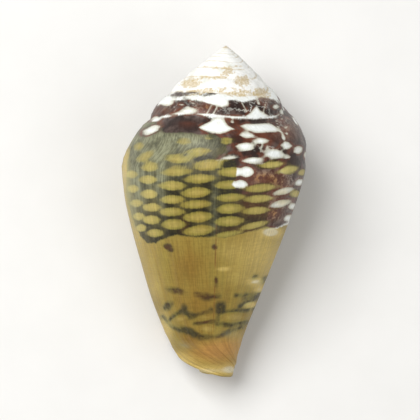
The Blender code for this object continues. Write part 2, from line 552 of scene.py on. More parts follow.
def off_path(path: tuple[Corner, ...], x: np.ndarray, y: np.ndarray) -> np.ndarray:
    """Measure how far places lie from a path of straight pieces.

    Args:
        path: The path's corners.
        x: Places across.
        y: Places down.

    Returns:
        The distance to the path.
    """
    nearest = np.full_like(x, np.inf)
    for (ax, ay), (bx, by) in zip(path, path[1:]):
        dx, dy = bx - ax, by - ay
        share = np.clip(((x - ax) * dx + (y - ay) * dy) / (dx * dx + dy * dy), 0.0, 1.0)
        nearest = np.minimum(nearest, np.hypot(x - ax - share * dx, y - ay - share * dy))
    return nearest


@dataclass(frozen=True)
class Streak:
    """A line of even width along a path, in the picture's pixels."""

    path: tuple[Corner, ...]
    half: float
    coat: Coat = Coat.AS_AROUND

    def inside(self, x: np.ndarray, y: np.ndarray) -> np.ndarray:
        """Say how far inside the line places lie, in pixels, and less than 0 outside it."""
        return self.half - off_path(self.path, x, y)


@dataclass(frozen=True)
class Patch:
    """An area with an outline of straight pieces, in the picture's pixels."""

    outline: tuple[Corner, ...]
    coat: Coat = Coat.AS_AROUND

    def inside(self, x: np.ndarray, y: np.ndarray) -> np.ndarray:
        """Say how far inside the area places lie, in pixels, and less than 0 outside it."""
        path = (*self.outline, self.outline[0])
        odd = np.zeros(x.shape, dtype=bool)
        for (ax, ay), (bx, by) in zip(path, path[1:]):
            if ay != by:
                crosses = (y >= min(ay, by)) & (y < max(ay, by))
                odd ^= crosses & (x < ax + (y - ay) * (bx - ax) / (by - ay))
        return np.where(odd, 1.0, -1.0) * off_path(path, x, y)


@dataclass(frozen=True)
class Shade:
    """A soft change of tone, in the picture's pixels."""

    across: float
    down: float
    wide: float
    tall: float
    amount: float

    def at(self, x: np.ndarray, y: np.ndarray) -> np.ndarray:
        """Give the change at each place."""
        off_x, off_y = (x - self.across) / self.wide, (y - self.down) / self.tall
        return self.amount * np.exp(-(off_x**2) - off_y**2)


Mark = Spot | Streak | Patch


def deepest(marks: tuple[Mark, ...], x: np.ndarray, y: np.ndarray, reach: float) -> np.ndarray:
    """Say how far inside the nearest of some marks places lie.

    Args:
        marks: The marks.
        x: Places across.
        y: Places down.
        reach: How far outside a mark still counts.

    Returns:
        Pixels inside a mark, and less than 0 outside all of them.
    """
    best = np.full_like(x, -reach)
    for mark in marks:
        best = np.maximum(best, mark.inside(x, y))
    return best


@dataclass(frozen=True)
class BackMarks:
    """The marks on the shell's back, placed where the photograph shows them, in its pixels."""

    reach: float = 6.0
    coat_margin: float = 1.2
    pale: tuple[Mark, ...] = (
        # the band of spots, column by column from the lip's side
        Spot(138.8, 146.3, 5.6, 3.8, 20.0),
        Spot(131.9, 174.4, 5.6, 3.8),
        Spot(133.1, 188.8, 5.4, 3.8),
        Spot(136.3, 203.1, 5.6, 3.7),
        Spot(138.8, 216.3, 5.4, 3.6),
        Spot(141.0, 228.0, 4.8, 3.4),
        Spot(145.0, 156.3, 10.0, 3.8, 28.0),
        Spot(150.0, 166.9, 8.8, 4.4, 4.0),
        Spot(147.8, 179.6, 8.8, 4.1),
        Spot(148.8, 194.0, 7.6, 4.1, -3.0),
        Spot(151.9, 207.3, 8.1, 3.8),
        Spot(151.5, 219.8, 8.6, 4.0),
        Spot(155.0, 233.1, 7.8, 3.6),
        Spot(177.5, 158.8, 14.2, 4.2, -6.0),
        Spot(176.3, 171.9, 14.6, 3.8, 3.0),
        Spot(171.9, 185.6, 13.2, 4.4),
        Spot(171.9, 199.4, 11.0, 4.0, 2.0),
        Spot(171.9, 211.9, 11.4, 4.0),
        Spot(173.8, 224.4, 11.6, 5.0),
        Spot(183.8, 141.3, 7.5, 3.2),
        Spot(208.8, 137.5, 5.0, 1.6),
        Spot(197.5, 151.9, 12.4, 4.0, 5.0),
        Spot(208.1, 165.0, 15.4, 5.2, 4.0),
        Spot(199.4, 178.8, 15.0, 4.2, 3.0),
        Spot(196.3, 192.5, 14.0, 4.8, 4.0),
        Spot(196.3, 204.4, 14.0, 4.0, 3.0),
        Spot(198.1, 216.9, 14.2, 5.0, 4.0),
        Spot(198.8, 230.6, 14.6, 4.8, 6.0),
        Spot(226.3, 140.9, 5.8, 2.9, 6.0, COVERED),
        Spot(233.0, 172.0, 14.5, 4.5, 1.0),
        Spot(246.3, 171.9, 7.5, 5.4, 0.0, BARE),
        Spot(229.4, 184.9, 14.0, 4.1, 2.0),
        Spot(240.6, 184.4, 7.2, 4.5, 0.0, BARE),
        Spot(230.3, 197.5, 13.4, 3.7, 3.0, COVERED),
        Spot(229.8, 208.8, 13.2, 4.6, 4.0),
        Spot(229.0, 221.3, 13.6, 4.8, 3.0),
        Spot(227.5, 234.2, 13.0, 2.4, 10.0),
        Spot(270.5, 164.6, 10.6, 2.8, 6.0, COVERED),
        Spot(260.0, 188.1, 13.2, 3.7, 6.0, COVERED),
        Spot(258.0, 198.8, 12.8, 3.5, 4.0, COVERED),
        Spot(256.0, 210.6, 12.4, 3.2, 5.0, COVERED),
        Spot(253.8, 225.4, 12.8, 2.6, 14.0, COVERED),
        Spot(288.6, 169.8, 8.4, 2.9, 12.0, COVERED),
        Spot(283.8, 191.3, 10.8, 3.2, 15.0, BARE),
        Spot(280.6, 203.8, 10.8, 3.6, 14.0, BARE),
        Spot(302.5, 172.4, 3.6, 2.6, 20.0, COVERED),
        Spot(299.4, 182.5, 5.0, 3.2, 20.0, BARE),
        Spot(296.3, 193.8, 4.4, 3.0, 0.0, COVERED),
        Spot(292.5, 206.3, 4.4, 3.2, 15.0, BARE),
        Spot(288.1, 218.1, 5.0, 3.2, 25.0, BARE),
        # the worn white spots below the shoulder, on the side away from the lip
        Spot(246.9, 135.0, 7.6, 3.2, -3.0, BARE),
        Spot(260.6, 140.9, 8.8, 3.0, 0.0, BARE),
        Spot(245.6, 146.9, 10.4, 4.2, 0.0, BARE),
        Spot(230.6, 156.9, 9.8, 2.5, 5.0, BARE),
        Spot(253.8, 160.6, 11.6, 3.5, 0.0, BARE),
        Spot(274.5, 154.0, 11.5, 4.8, -6.0, BARE),
        Spot(286.0, 156.5, 5.0, 2.4, 0.0, BARE),
        Spot(286.3, 145.6, 5.8, 3.8, 0.0, BARE),
        Spot(298.1, 150.0, 5.2, 3.8, 20.0, BARE),
        Spot(306.3, 155.0, 2.4, 3.6, 0.0, BARE),
        # the ramp of the last turn
        Spot(151.3, 130.0, 9.6, 3.6, 22.0, BARE, 2.6),
        Patch(
            ((198, 127), (204, 124), (210, 121.5), (213.5, 118.5), (217, 117.5), (224, 118), (225.5, 123),
             (229, 126.5), (235, 128.5), (228, 131.5), (220, 134), (210, 132.5), (202, 129.8)),
            BARE,
        ),
        Patch(
            ((239, 126.5), (245, 124), (257, 123.6), (269, 122.8), (275, 126), (279, 129.5), (276.5, 132.2),
             (266, 132.6), (255, 133), (250, 130.8), (244, 129)),
            BARE,
        ),
        Spot(232.5, 121.3, 2.2, 2.1, 0.0, BARE),
        Streak(((276, 119), (278, 127), (281, 131), (284, 138)), 0.8, BARE),
        Spot(283.5, 137.5, 2.0, 3.2, 20.0, BARE),
        Spot(295.0, 120.5, 2.4, 4.0, 40.0, BARE),
        Spot(303.5, 135.0, 1.6, 1.8, 0.0, BARE),
        Spot(282.3, 119.6, 1.8, 0.9, 30.0, BARE),
        Spot(286.0, 127.0, 1.7, 0.9, 35.0, BARE),
        Spot(286.8, 133.4, 1.2, 2.2, 0.0, BARE),
        Spot(289.8, 115.8, 1.6, 0.9, 40.0, BARE),
        # white streaks between the worn spots: partly scratches in the shell and partly a painted highlight
        # where the light glints on the dark
        Streak(((255, 145.5), (262, 148.5), (269, 151.5)), 0.8, BARE),
        Streak(((262, 144.5), (269, 148)), 0.7, BARE),
        Streak(((257, 150), (264, 152.5)), 0.6, BARE),
        # the last suture, and the turn above it
        Streak(
            ((149.5, 120.5), (165, 116.2), (180, 113.2), (196, 112.8), (213, 116.8), (245, 117.3), (273, 117),
             (281, 114.5)),
            0.7, BARE,
        ),
        Spot(156.0, 119.0, 4.6, 2.6, 10.0, BARE),
        Spot(167.0, 102.6, 6.9, 3.7, 5.0, BARE),
        Spot(188.0, 111.0, 9.0, 3.0, 4.0, BARE),
        Patch(
            ((200, 99), (212, 97), (224, 97), (229, 100), (228.5, 105.5), (222, 107.5), (213, 105),
             (206, 102.5)),
            BARE,
        ),
        Patch(((245, 117), (251, 112), (256.7, 105), (261, 111), (271, 117)), BARE),
        Streak(((179, 103.5), (186, 106.5), (194, 108.4)), 0.7, BARE),
        Streak(((190, 101.5), (197, 105.5)), 0.6, BARE),
        Streak(((211, 106), (206, 116)), 0.7, BARE),
        Streak(((217, 107), (212, 116)), 0.8, BARE),
        Streak(((242, 103), (247, 112)), 0.7, BARE),
        Streak(((257, 99), (259, 104)), 1.2, BARE),
        Streak(((266, 101), (263, 114)), 0.6, BARE),
        Spot(276.0, 106.7, 3.4, 2.4, 0.0, BARE),
        Spot(283.3, 111.7, 4.0, 3.0, 0.0, BARE),
        # below the band
        Spot(271.0, 232.5, 9.0, 4.6, 8.0),
        Spot(222.5, 268.8, 6.5, 1.4),
        Spot(255.6, 281.9, 6.0, 2.2, 28.0),
        Spot(258.5, 289.5, 4.0, 2.2, 20.0),
        Spot(250.0, 305.0, 6.4, 2.4, 18.0),
        Spot(180.0, 319.4, 7.6, 3.7, 12.0),
        Spot(205.0, 317.6, 11.0, 2.6, 12.0),
        Spot(233.8, 317.2, 14.0, 4.6),
        Spot(207.5, 329.0, 11.0, 4.4),
    )
    pigment: tuple[Mark, ...] = (
        Patch(
            ((152, 122.5), (165, 117.8), (180, 114.8), (196, 114), (213, 118), (245, 118.8), (273, 118.3),
             (281, 115.5), (290, 112), (310, 118), (330, 150), (325, 200), (292, 216), (287, 222.5),
             (279, 227), (272, 228.5), (262, 229), (250, 231), (240, 234.2), (225, 237.6), (212, 236.6),
             (200, 237.2), (186, 236), (175, 235), (164, 238.6), (156, 243), (147, 242.5), (140, 236),
             (135, 226), (130, 210), (127, 195), (126.5, 178), (127.5, 162), (130, 150), (132, 141),
             (126, 134), (126, 117), (150, 116.5)),
        ),
        Patch(
            ((147, 120), (151, 111), (158, 105.5), (166, 102.5), (176, 100.8), (186, 99.8), (196, 101),
             (205, 102.5), (214, 104), (222, 103), (229, 100), (236, 100.5), (243, 102.5), (248, 101.5),
             (254, 100), (260, 98), (268, 98), (276, 101), (283, 106), (288, 111.5), (285, 115.5), (275, 116),
             (262, 115), (250, 115), (240, 116), (228, 115.6), (216, 114.3), (205, 113.5), (196, 111.8),
             (186, 112.3), (176, 112.7), (166, 115), (157, 118.6)),
        ),
        Streak(((187, 89.4), (192, 88), (197, 86.2)), 0.6),
        Streak(((199, 91), (211, 89), (223, 87)), 0.7),
        Streak(((176, 92.5), (186, 93.6), (198, 92.2)), 0.6),
        Spot(180.0, 94.5, 8.0, 1.6, 4.0),
        Spot(210.0, 93.8, 8.0, 1.5, 8.0),
        Spot(167.5, 246.3, 4.0, 2.4, -8.0),
        Spot(170.3, 249.6, 3.0, 2.2),
        Spot(214.4, 246.9, 2.8, 2.4),
        Spot(216.0, 281.0, 1.9, 3.8),
        Spot(177.0, 290.8, 6.6, 2.2, -12.0),
        Streak(((196, 294), (203, 295.6), (211, 297.2), (219, 296)), 1.3),
        Spot(206.5, 297.0, 5.2, 2.6, -8.0),
        Spot(255.0, 276.9, 3.0, 2.0, 30.0),
        Spot(264.5, 279.5, 5.0, 2.4, 28.0),
        Streak(((236, 295.5), (248, 294.8), (260, 293.5)), 1.1),
        Spot(253.0, 297.3, 7.0, 2.4, 12.0),
        Streak(((257, 297.5), (249, 301.5), (240, 306.5)), 1.3),
        Spot(168.0, 306.0, 4.4, 3.0, 40.0),
        Streak(
            ((167, 322), (171, 319), (177.5, 313.8), (183.8, 309.5), (187, 313.8), (192.5, 316.8),
             (201.3, 314), (211.3, 310.4)),
            1.4,
        ),
        Spot(193.0, 316.4, 7.4, 2.6, -3.0),
        Spot(184.2, 309.6, 2.3, 3.6),
        Spot(220.6, 308.5, 4.4, 6.0, 0.0, Coat.AS_AROUND, 2.4),
        Streak(((222, 312), (236, 311), (250, 309.5), (262, 306)), 0.9),
        Streak(((218.5, 310), (218, 325)), 1.3),
        Streak(((195, 323.5), (206, 322), (217.5, 321.5)), 1.3),
        Streak(((217.5, 323.8), (231, 325), (246, 322.5)), 1.6),
        Streak(
            ((163, 317), (170, 325), (180, 330), (192.5, 334), (200, 337.5), (210, 337.3),
             (220, 335.5), (230, 331), (242, 326.5)),
            1.2,
        ),
        Spot(191.0, 332.4, 11.0, 2.8, -24.0),
        Spot(204.0, 337.2, 8.0, 2.0, -4.0),
    )
    pits: tuple[Mark, ...] = (
        Spot(157.5, 157.0, 2.6, 2.2),
        Spot(191.5, 184.0, 3.0, 2.1),
        Spot(197.5, 131.3, 2.2, 2.6),
    )
    worn: tuple[Mark, ...] = (
        Patch(
            ((100, 112), (148, 119), (161, 119.5), (162, 133), (185, 132.6), (200, 134), (215, 135),
             (222, 139), (229, 151), (235, 161), (237, 170), (236, 181), (235, 190), (243, 194.5),
             (256, 192.5), (264, 196), (269, 205), (267, 216), (265, 226), (276, 229.5), (288, 224),
             (300, 210), (330, 200), (330, 30), (100, 30)),
        ),
    )
    tan: tuple[Mark, ...] = (
        Spot(190.5, 83.0, 10.5, 5.2, 14.0),
        Streak(((200, 78.5), (212, 77.6), (226, 76.6)), 1.0),
        Spot(228.0, 71.8, 6.5, 3.8, 20.0),
        Streak(((205, 67), (222, 68.6), (240, 66)), 0.5),
        Spot(242.0, 81.0, 8.5, 5.6),
        Spot(204.0, 91.5, 25.0, 2.6, 6.0),
        Spot(241.0, 93.0, 12.0, 3.6, 2.0),
        Spot(260.5, 93.5, 9.5, 5.4, -12.0),
        Spot(167.0, 106.5, 6.0, 1.6, 5.0),
    )
    haze: tuple[Shade, ...] = (
        Shade(150.0, 125.0, 11.0, 6.0, 1.0),
        Shade(147.0, 143.0, 17.0, 13.0, 1.0),
        Shade(176.0, 140.0, 22.0, 9.0, 1.0),
        Shade(204.0, 142.0, 18.0, 8.0, 0.7),
        Shade(164.0, 155.0, 12.0, 9.0, 0.7),
        Shade(161.0, 178.0, 5.0, 30.0, 0.9),
        Shade(135.0, 184.0, 9.0, 42.0, 1.1),
        Shade(150.0, 176.0, 9.0, 18.0, 0.6),
        Shade(172.0, 176.0, 14.0, 12.0, 0.25),
        Shade(186.0, 158.0, 8.0, 10.0, 0.4),
        Shade(214.5, 206.0, 4.0, 34.0, 0.45),
        Shade(186.0, 345.0, 7.0, 3.5, 0.8),
        Shade(231.0, 334.0, 9.0, 4.0, 0.5),
    )
    warm: tuple[Shade, ...] = (
        Shade(187.0, 124.5, 9.0, 2.2, 0.8),
        Shade(262.0, 135.0, 24.0, 7.0, 0.9),
        Shade(236.0, 124.0, 4.0, 7.0, 0.7),
        Shade(207.0, 107.0, 9.0, 5.0, 0.9),
        Shade(162.0, 110.0, 12.0, 5.0, 0.7),
        Shade(270.0, 97.0, 14.0, 5.0, 0.7),
        Shade(258.0, 178.0, 18.0, 9.0, 0.9),
        Shade(252.0, 205.0, 14.0, 14.0, 0.8),
        Shade(280.0, 186.0, 14.0, 20.0, 0.7),
        Shade(292.0, 130.0, 9.0, 14.0, 0.5),
        Shade(274.0, 214.0, 12.0, 10.0, 0.8),
        Shade(252.0, 230.0, 30.0, 4.0, 0.7),
        Shade(184.0, 225.0, 5.0, 10.0, 0.5),
        Shade(190.0, 295.0, 34.0, 9.0, 0.8),
        Shade(168.0, 248.0, 7.0, 6.0, 0.8),
        Shade(214.5, 247.0, 5.0, 5.0, 0.8),
        Shade(216.0, 282.0, 5.0, 7.0, 0.8),
        Shade(206.0, 321.0, 12.0, 4.0, 0.8),
        Shade(206.0, 312.0, 10.0, 4.0, 0.5),
        Shade(226.0, 348.0, 22.0, 15.0, 1.0),
        Shade(204.0, 352.0, 18.0, 9.0, 0.6),
    )
    freckles_and_glint: tuple[Shade, ...] = (
        Shade(266.0, 177.0, 13.0, 8.0, 1.0),
        Shade(286.0, 181.0, 10.0, 9.0, 0.9),
        Shade(276.0, 211.0, 14.0, 14.0, 0.9),
        Shade(266.0, 96.0, 14.0, 5.0, 0.6),
        # a painted highlight: pale specks where the light glints on the glossy dark skin below the shoulder
        Shade(266.0, 148.5, 9.0, 3.5, 1.0),
        Shade(250.0, 108.0, 20.0, 8.0, 1.0),
        Shade(205.0, 108.0, 20.0, 6.0, 0.5),
        Shade(172.0, 107.0, 14.0, 6.0, 0.4),
        Shade(300.0, 122.0, 8.0, 12.0, 0.4),
        Shade(287.0, 126.0, 12.0, 12.0, 0.6),
    )
    tone: tuple[Shade, ...] = (
        # the lip's pale margin along the left edge, made lighter still as a painted highlight that offsets
        # the shade at the grazing edge
        Shade(124.0, 180.0, 7.0, 55.0, 0.75),
        Shade(134.0, 235.0, 8.0, 50.0, 0.4),
        Shade(151.0, 195.0, 13.0, 40.0, 0.30),
        Shade(174.0, 190.0, 12.0, 40.0, 0.12),
        Shade(199.0, 210.0, 16.0, 34.0, -0.10),
        Shade(208.0, 163.0, 16.0, 10.0, -0.06),
        Shade(232.0, 210.0, 14.0, 28.0, -0.03),
        Shade(258.0, 205.0, 14.0, 30.0, 0.18),
        Shade(284.0, 172.0, 18.0, 12.0, 0.66),
        Shade(283.0, 198.0, 13.0, 13.0, 0.80),
        Shade(190.0, 266.0, 36.0, 22.0, -0.20),
        Shade(150.0, 268.0, 14.0, 32.0, 0.30),
        Shade(262.0, 256.0, 28.0, 28.0, 0.50),
        Shade(226.0, 252.0, 14.0, 14.0, 0.22),
        Shade(200.0, 306.0, 40.0, 20.0, -0.20),
        Shade(240.0, 300.0, 14.0, 22.0, 0.12),
        Shade(271.0, 232.0, 8.5, 4.4, 1.3),
        Shade(255.6, 281.9, 7.0, 3.0, 0.9),
        Shade(259.0, 289.5, 5.0, 3.0, 0.7),
        Shade(250.0, 305.0, 7.0, 3.0, 0.7),
        Shade(222.5, 268.8, 7.0, 1.8, 0.6),
        Shade(180.0, 362.0, 14.0, 10.0, 0.85),
        Shade(164.0, 335.0, 7.0, 26.0, 0.35),
        Shade(208.0, 371.0, 26.0, 5.0, 0.85),
        Shade(166.0, 330.0, 11.0, 20.0, 0.30),
        Shade(191.0, 342.0, 13.0, 13.0, -0.30),
        Shade(236.0, 340.0, 8.0, 16.0, 0.30),
        Shade(158.0, 290.0, 9.0, 16.0, 0.20),
        Shade(234.0, 278.0, 18.0, 9.0, 0.14),
        Shade(214.0, 354.0, 26.0, 12.0, 0.20),
        Shade(230.0, 369.0, 7.0, 5.0, 0.9),
    )

    def fields(self, x: np.ndarray, y: np.ndarray) -> Fields:
        """Work out every field of the pattern from its marks.

        Args:
            x: Places across, in the picture's pixels.
            y: Places down.

        Returns:
            Each field by its name: pixels inside a mark, or the amount of a soft change.
        """
        pits = deepest(self.pits, x, y, self.reach)
        worn = deepest(self.worn, x, y, 3.0 * self.reach)
        for mark in self.pale:
            if mark.coat is BARE:
                worn = np.maximum(worn, mark.inside(x, y) + self.coat_margin)
            elif mark.coat is COVERED:
                worn = np.minimum(worn, -mark.inside(x, y) - self.coat_margin)
        soft = {"haze": self.haze, "warm": self.warm, "freckles_and_glint": self.freckles_and_glint, "tone": self.tone}
        return {
            "pale": np.minimum(deepest(self.pale, x, y, self.reach), -pits),
            "pigment": np.maximum(deepest(self.pigment, x, y, self.reach), pits),
            "worn": worn,
            "tan": deepest(self.tan, x, y, self.reach),
            **{name: sum(shade.at(x, y) for shade in marks) for name, marks in soft.items()},
        }


@dataclass(frozen=True)
class HiddenMarks:
    """The same pattern carried on where the photograph can't see, in turns and metres.

    Each column of spots is one pause in growth, and the columns stand half a step higher and lower in turn.
    Wander says how much a spot's place, level, width and height vary.
    """

    law: GrowthLaw
    relief: Relief
    pixel: float = 0.0001195
    reach: float = 6.0
    seen_middle: float = 0.347
    seen_half: float = 0.215
    spot_clear: float = 0.010
    first: float = 0.178
    step: float = 0.0415
    widening: float = 0.0018
    period: float = 0.00163
    wide_share: float = 0.46
    tall_share: float = 0.31
    bluntness: float = 1.75
    wander: tuple[float, ...] = (0.10, 0.08, 0.10, 0.14)
    top: float = 0.0060
    band_end: float = 0.0219
    band_wave: float = 0.0007
    network_top: float = 0.0305
    network_end: float = 0.0345
    network_stretch: float = 1.5
    lip_zone: float = 0.135
    worn_depth: float = 0.0112
    worn_more: float = 0.0085
    worn_turns: float = 0.60
    worn_spread: float = 0.07
    base_depth: float = 0.0345
    base_fade: float = 0.0015
    blotch_step: float = 0.118
    blotch_wide: float = 15.0
    blotch_tall: float = 5.0
    blotch_row: float = -0.45
    ramp_pixels: float = 26.0
    white_turns: float = 1.85
    white_fade: float = 0.15
    tan_turns: Span = (1.5, 3.5)
    draws: int = 64
    seed: int = 23

    def past_the_edge(self, turns: np.ndarray) -> np.ndarray:
        """Say how many turns past the edge of what the photograph sees places lie, 0 where it sees them."""
        from_middle = np.mod(turns - self.seen_middle + 0.5, 1.0) - 0.5
        return from_middle - np.clip(from_middle, -self.seen_half, self.seen_half)

    def lattice(self, turns: np.ndarray, radius: np.ndarray, depth: np.ndarray, stretch: float) -> np.ndarray:
        """Say how far inside a pale spot places lie.

        Args:
            turns: Turns back from the lip.
            radius: Distance from the axis.
            depth: Depth below the apex.
            stretch: How much larger than in the band the spots are.

        Returns:
            Pixels inside a spot, and less than 0 outside.
        """
        size = (len(self.wander), self.draws, self.draws)
        random = np.random.default_rng(self.seed).uniform(-1.0, 1.0, size)
        past_first = np.maximum(turns - self.first, -0.2)
        number = np.sqrt(self.step**2 + 4.0 * self.widening * past_first) - self.step
        number = number / (2.0 * self.widening) / stretch
        period = self.period * stretch * self.law.turn_growth ** -np.maximum(turns - self.first, 0.0)
        around = 2.0 * math.pi * radius
        best = np.full_like(turns, -self.reach)
        for aside in (-1, 0, 1):
            column = np.rint(number).astype(int) + aside
            at = column * stretch
            middle = self.first + self.step * at + self.widening * at * at
            spacing = (self.step + 2.0 * self.widening * at) * stretch
            level = (depth - self.top) / period + 0.5 * (column % 2)
            for above in (-1, 0, 1):
                line = np.rint(level).astype(int) + above
                aside_by, down_by, longer, higher = (
                    share * random[i, column % self.draws, line % self.draws]
                    for i, share in enumerate(self.wander)
                )
                centre = middle + aside_by * spacing
                half = self.wide_share * (1.0 + longer) * spacing
                tall = self.tall_share * (1.0 + higher) * period
                along = np.abs((turns - centre) * around / (half * around))
                over = np.abs((level - line - down_by) * period / tall)
                reach = (along**self.bluntness + over**self.bluntness) ** (1.0 / self.bluntness)
                hidden = np.abs(self.past_the_edge(centre)) > half + self.spot_clear
                best = np.where(hidden, np.maximum(best, (1.0 - reach) * tall / self.pixel), best)
        return best

    def ramp_pale(self, turns: np.ndarray, row: np.ndarray, radius: np.ndarray) -> np.ndarray:
        """Say how far inside the white of the ramp places lie: its blotches, its old turns and its sutures.

        Args:
            turns: Turns back from the lip.
            row: From -1 at the suture to 0 at the shoulder.
            radius: Distance from the axis.

        Returns:
            Pixels inside the white, and less than 0 outside.
        """
        noise = self.relief.noise
        blotch = turns / self.blotch_step + 0.3 * noise(turns * 3.0, 43)
        nearest = np.rint(blotch)
        off = (blotch - nearest) * self.blotch_step * 2.0 * math.pi * radius / self.pixel
        size = 1.0 + 0.45 * noise(nearest, 44)
        across = (row - self.blotch_row + 0.2 * noise(nearest, 45)) * self.ramp_pixels
        across = across * self.law.turn_growth ** -np.floor(turns)
        reach = np.hypot(off / (self.blotch_wide * size), across / (self.blotch_tall * size))
        blotches = (1.0 - reach) * self.blotch_tall
        older = 4.0 * (turns - self.white_turns) / self.white_fade
        older = older + 2.0 * self.relief.noise_2d(turns * 30.0, row * 5.0, 46)
        seam = 1.6 - 16.0 * np.minimum(-row, row + 1.0) + 1.4 * noise(turns * 16.0, 47)
        return np.maximum(np.maximum(blotches, older), np.where(turns > 1.0, seam, -self.reach))

    def fields(self, turns: np.ndarray, row: np.ndarray, radius: np.ndarray, depth: np.ndarray) -> Fields:
        """Work out every field of the pattern by the law that the visible part follows.

        Args:
            turns: Turns back from the lip.
            row: From -1 at the suture to 0 at the shoulder and 1 at the base.
            radius: Distance from the axis.
            depth: Depth below the apex.

        Returns:
            The same fields as BackMarks.fields gives.
        """
        cloudy = self.relief.noise_2d
        wave = self.relief.noise(turns * 24.0, 40) * self.band_wave
        in_band = np.minimum((self.band_end + wave - depth) / self.pixel, self.reach)
        network = np.minimum(depth - self.network_top - wave, self.network_end + wave - depth) / self.pixel
        network = np.minimum(network, 1.4) + 2.6 * cloudy(turns * 30.0, depth * 900.0, 41) - 1.2
        from_lip = (turns - self.lip_zone) * 2.0 * math.pi * radius / self.pixel
        pigment = np.minimum(np.maximum(in_band, network), from_lip)
        pale = np.where(
            depth < 0.5 * (self.band_end + self.network_top),
            self.lattice(turns, radius, depth, 1.0),
            self.lattice(turns, radius, depth, self.network_stretch),
        )
        low_wear = self.worn_more * np.exp(-(((turns - self.worn_turns) / self.worn_spread) ** 2))
        worn = (self.worn_depth + low_wear - depth) / self.pixel
        worn = worn + 15.0 * cloudy(turns * 12.0, depth * 320.0, 42)
        on_ramp = (row < 0.0) | ((turns > 1.0) & (row == 0.0))
        dark_ramp = np.minimum(self.reach, from_lip + 2.0)
        base = np.clip((depth - self.base_depth) / self.base_fade, 0.0, 1.0)
        first_tan, last_tan = self.tan_turns
        tan = 3.0 * cloudy(turns * 9.0, row * 2.0, 48) - 1.2 - 3.0 * (turns > last_tan)
        haze = np.clip(0.35 * cloudy(turns * 14.0, depth * 200.0, 49), 0.0, 1.0)
        warm = np.clip(0.35 + 0.5 * cloudy(turns * 10.0, depth * 300.0, 50), 0.0, 1.0)
        freckles_and_glint = np.clip(0.7 * cloudy(turns * 9.0, depth * 240.0, 51) - 0.2, 0.0, 1.0)
        return {
            "pale": np.where(on_ramp, self.ramp_pale(turns, row, radius), np.minimum(pale, pigment + 1.0)),
            "pigment": np.where(on_ramp, dark_ramp, pigment),
            "worn": np.where(on_ramp, dark_ramp, np.minimum(worn, from_lip)),
            "tan": np.where(on_ramp & (turns > first_tan), tan, -self.reach),
            "haze": haze * (1.0 - base),
            "warm": warm + 0.5 * base,
            "freckles_and_glint": freckles_and_glint * (1.0 - base),
            "tone": 0.10 + 0.15 * cloudy(turns * 8.0, depth * 200.0, 52) + 0.60 * base,
        }


def shown(*channels: int) -> Tone:
    """Turn a colour as a screen shows it, in three channels of 0 to 255, into linear light."""
    shares = (channel / 255.0 for channel in channels)
    return tuple(s / 12.92 if s <= 0.04045 else ((s + 0.055) / 1.055) ** 2.4 for s in shares)


@dataclass(frozen=True)
class Signal:
    """An output in a node tree, which sums are written with."""

    wire: Wiring
    socket: Socket

    def __add__(self, other: Value) -> Signal:
        """Add a value."""
        return self.wire.maths("ADD", self, other)

    def __sub__(self, other: Value) -> Signal:
        """Take a value away."""
        return self.wire.maths("SUBTRACT", self, other)

    def __mul__(self, other: Value) -> Signal:
        """Multiply by a value."""
        return self.wire.maths("MULTIPLY", self, other)

    def __pow__(self, other: Value) -> Signal:
        """Raise to a power."""
        return self.wire.maths("POWER", self, other)

    def __abs__(self) -> Signal:
        """Drop the sign."""
        return self.wire.maths("ABSOLUTE", self)

    def at_most(self, limit: Value) -> Signal:
        """Keep the smaller of this and a limit."""
        return self.wire.maths("MINIMUM", self, limit)

    def at_least(self, limit: Value) -> Signal:
        """Keep the larger of this and a limit."""
        return self.wire.maths("MAXIMUM", self, limit)

    def step(self, low: float, high: float, first: float = 0.0, last: float = 1.0) -> Signal:
        """Map this to a soft step.

        Args:
            low: Where the step starts.
            high: Where it ends.
            first: What it gives before the step.
            last: What it gives after it.

        Returns:
            The step.
        """
        given = {"Value": self, "From Min": low, "From Max": high, "To Min": first, "To Max": last}
        node = self.wire.node("ShaderNodeMapRange", given, interpolation_type="SMOOTHSTEP")
        return Signal(self.wire, node.outputs["Result"])


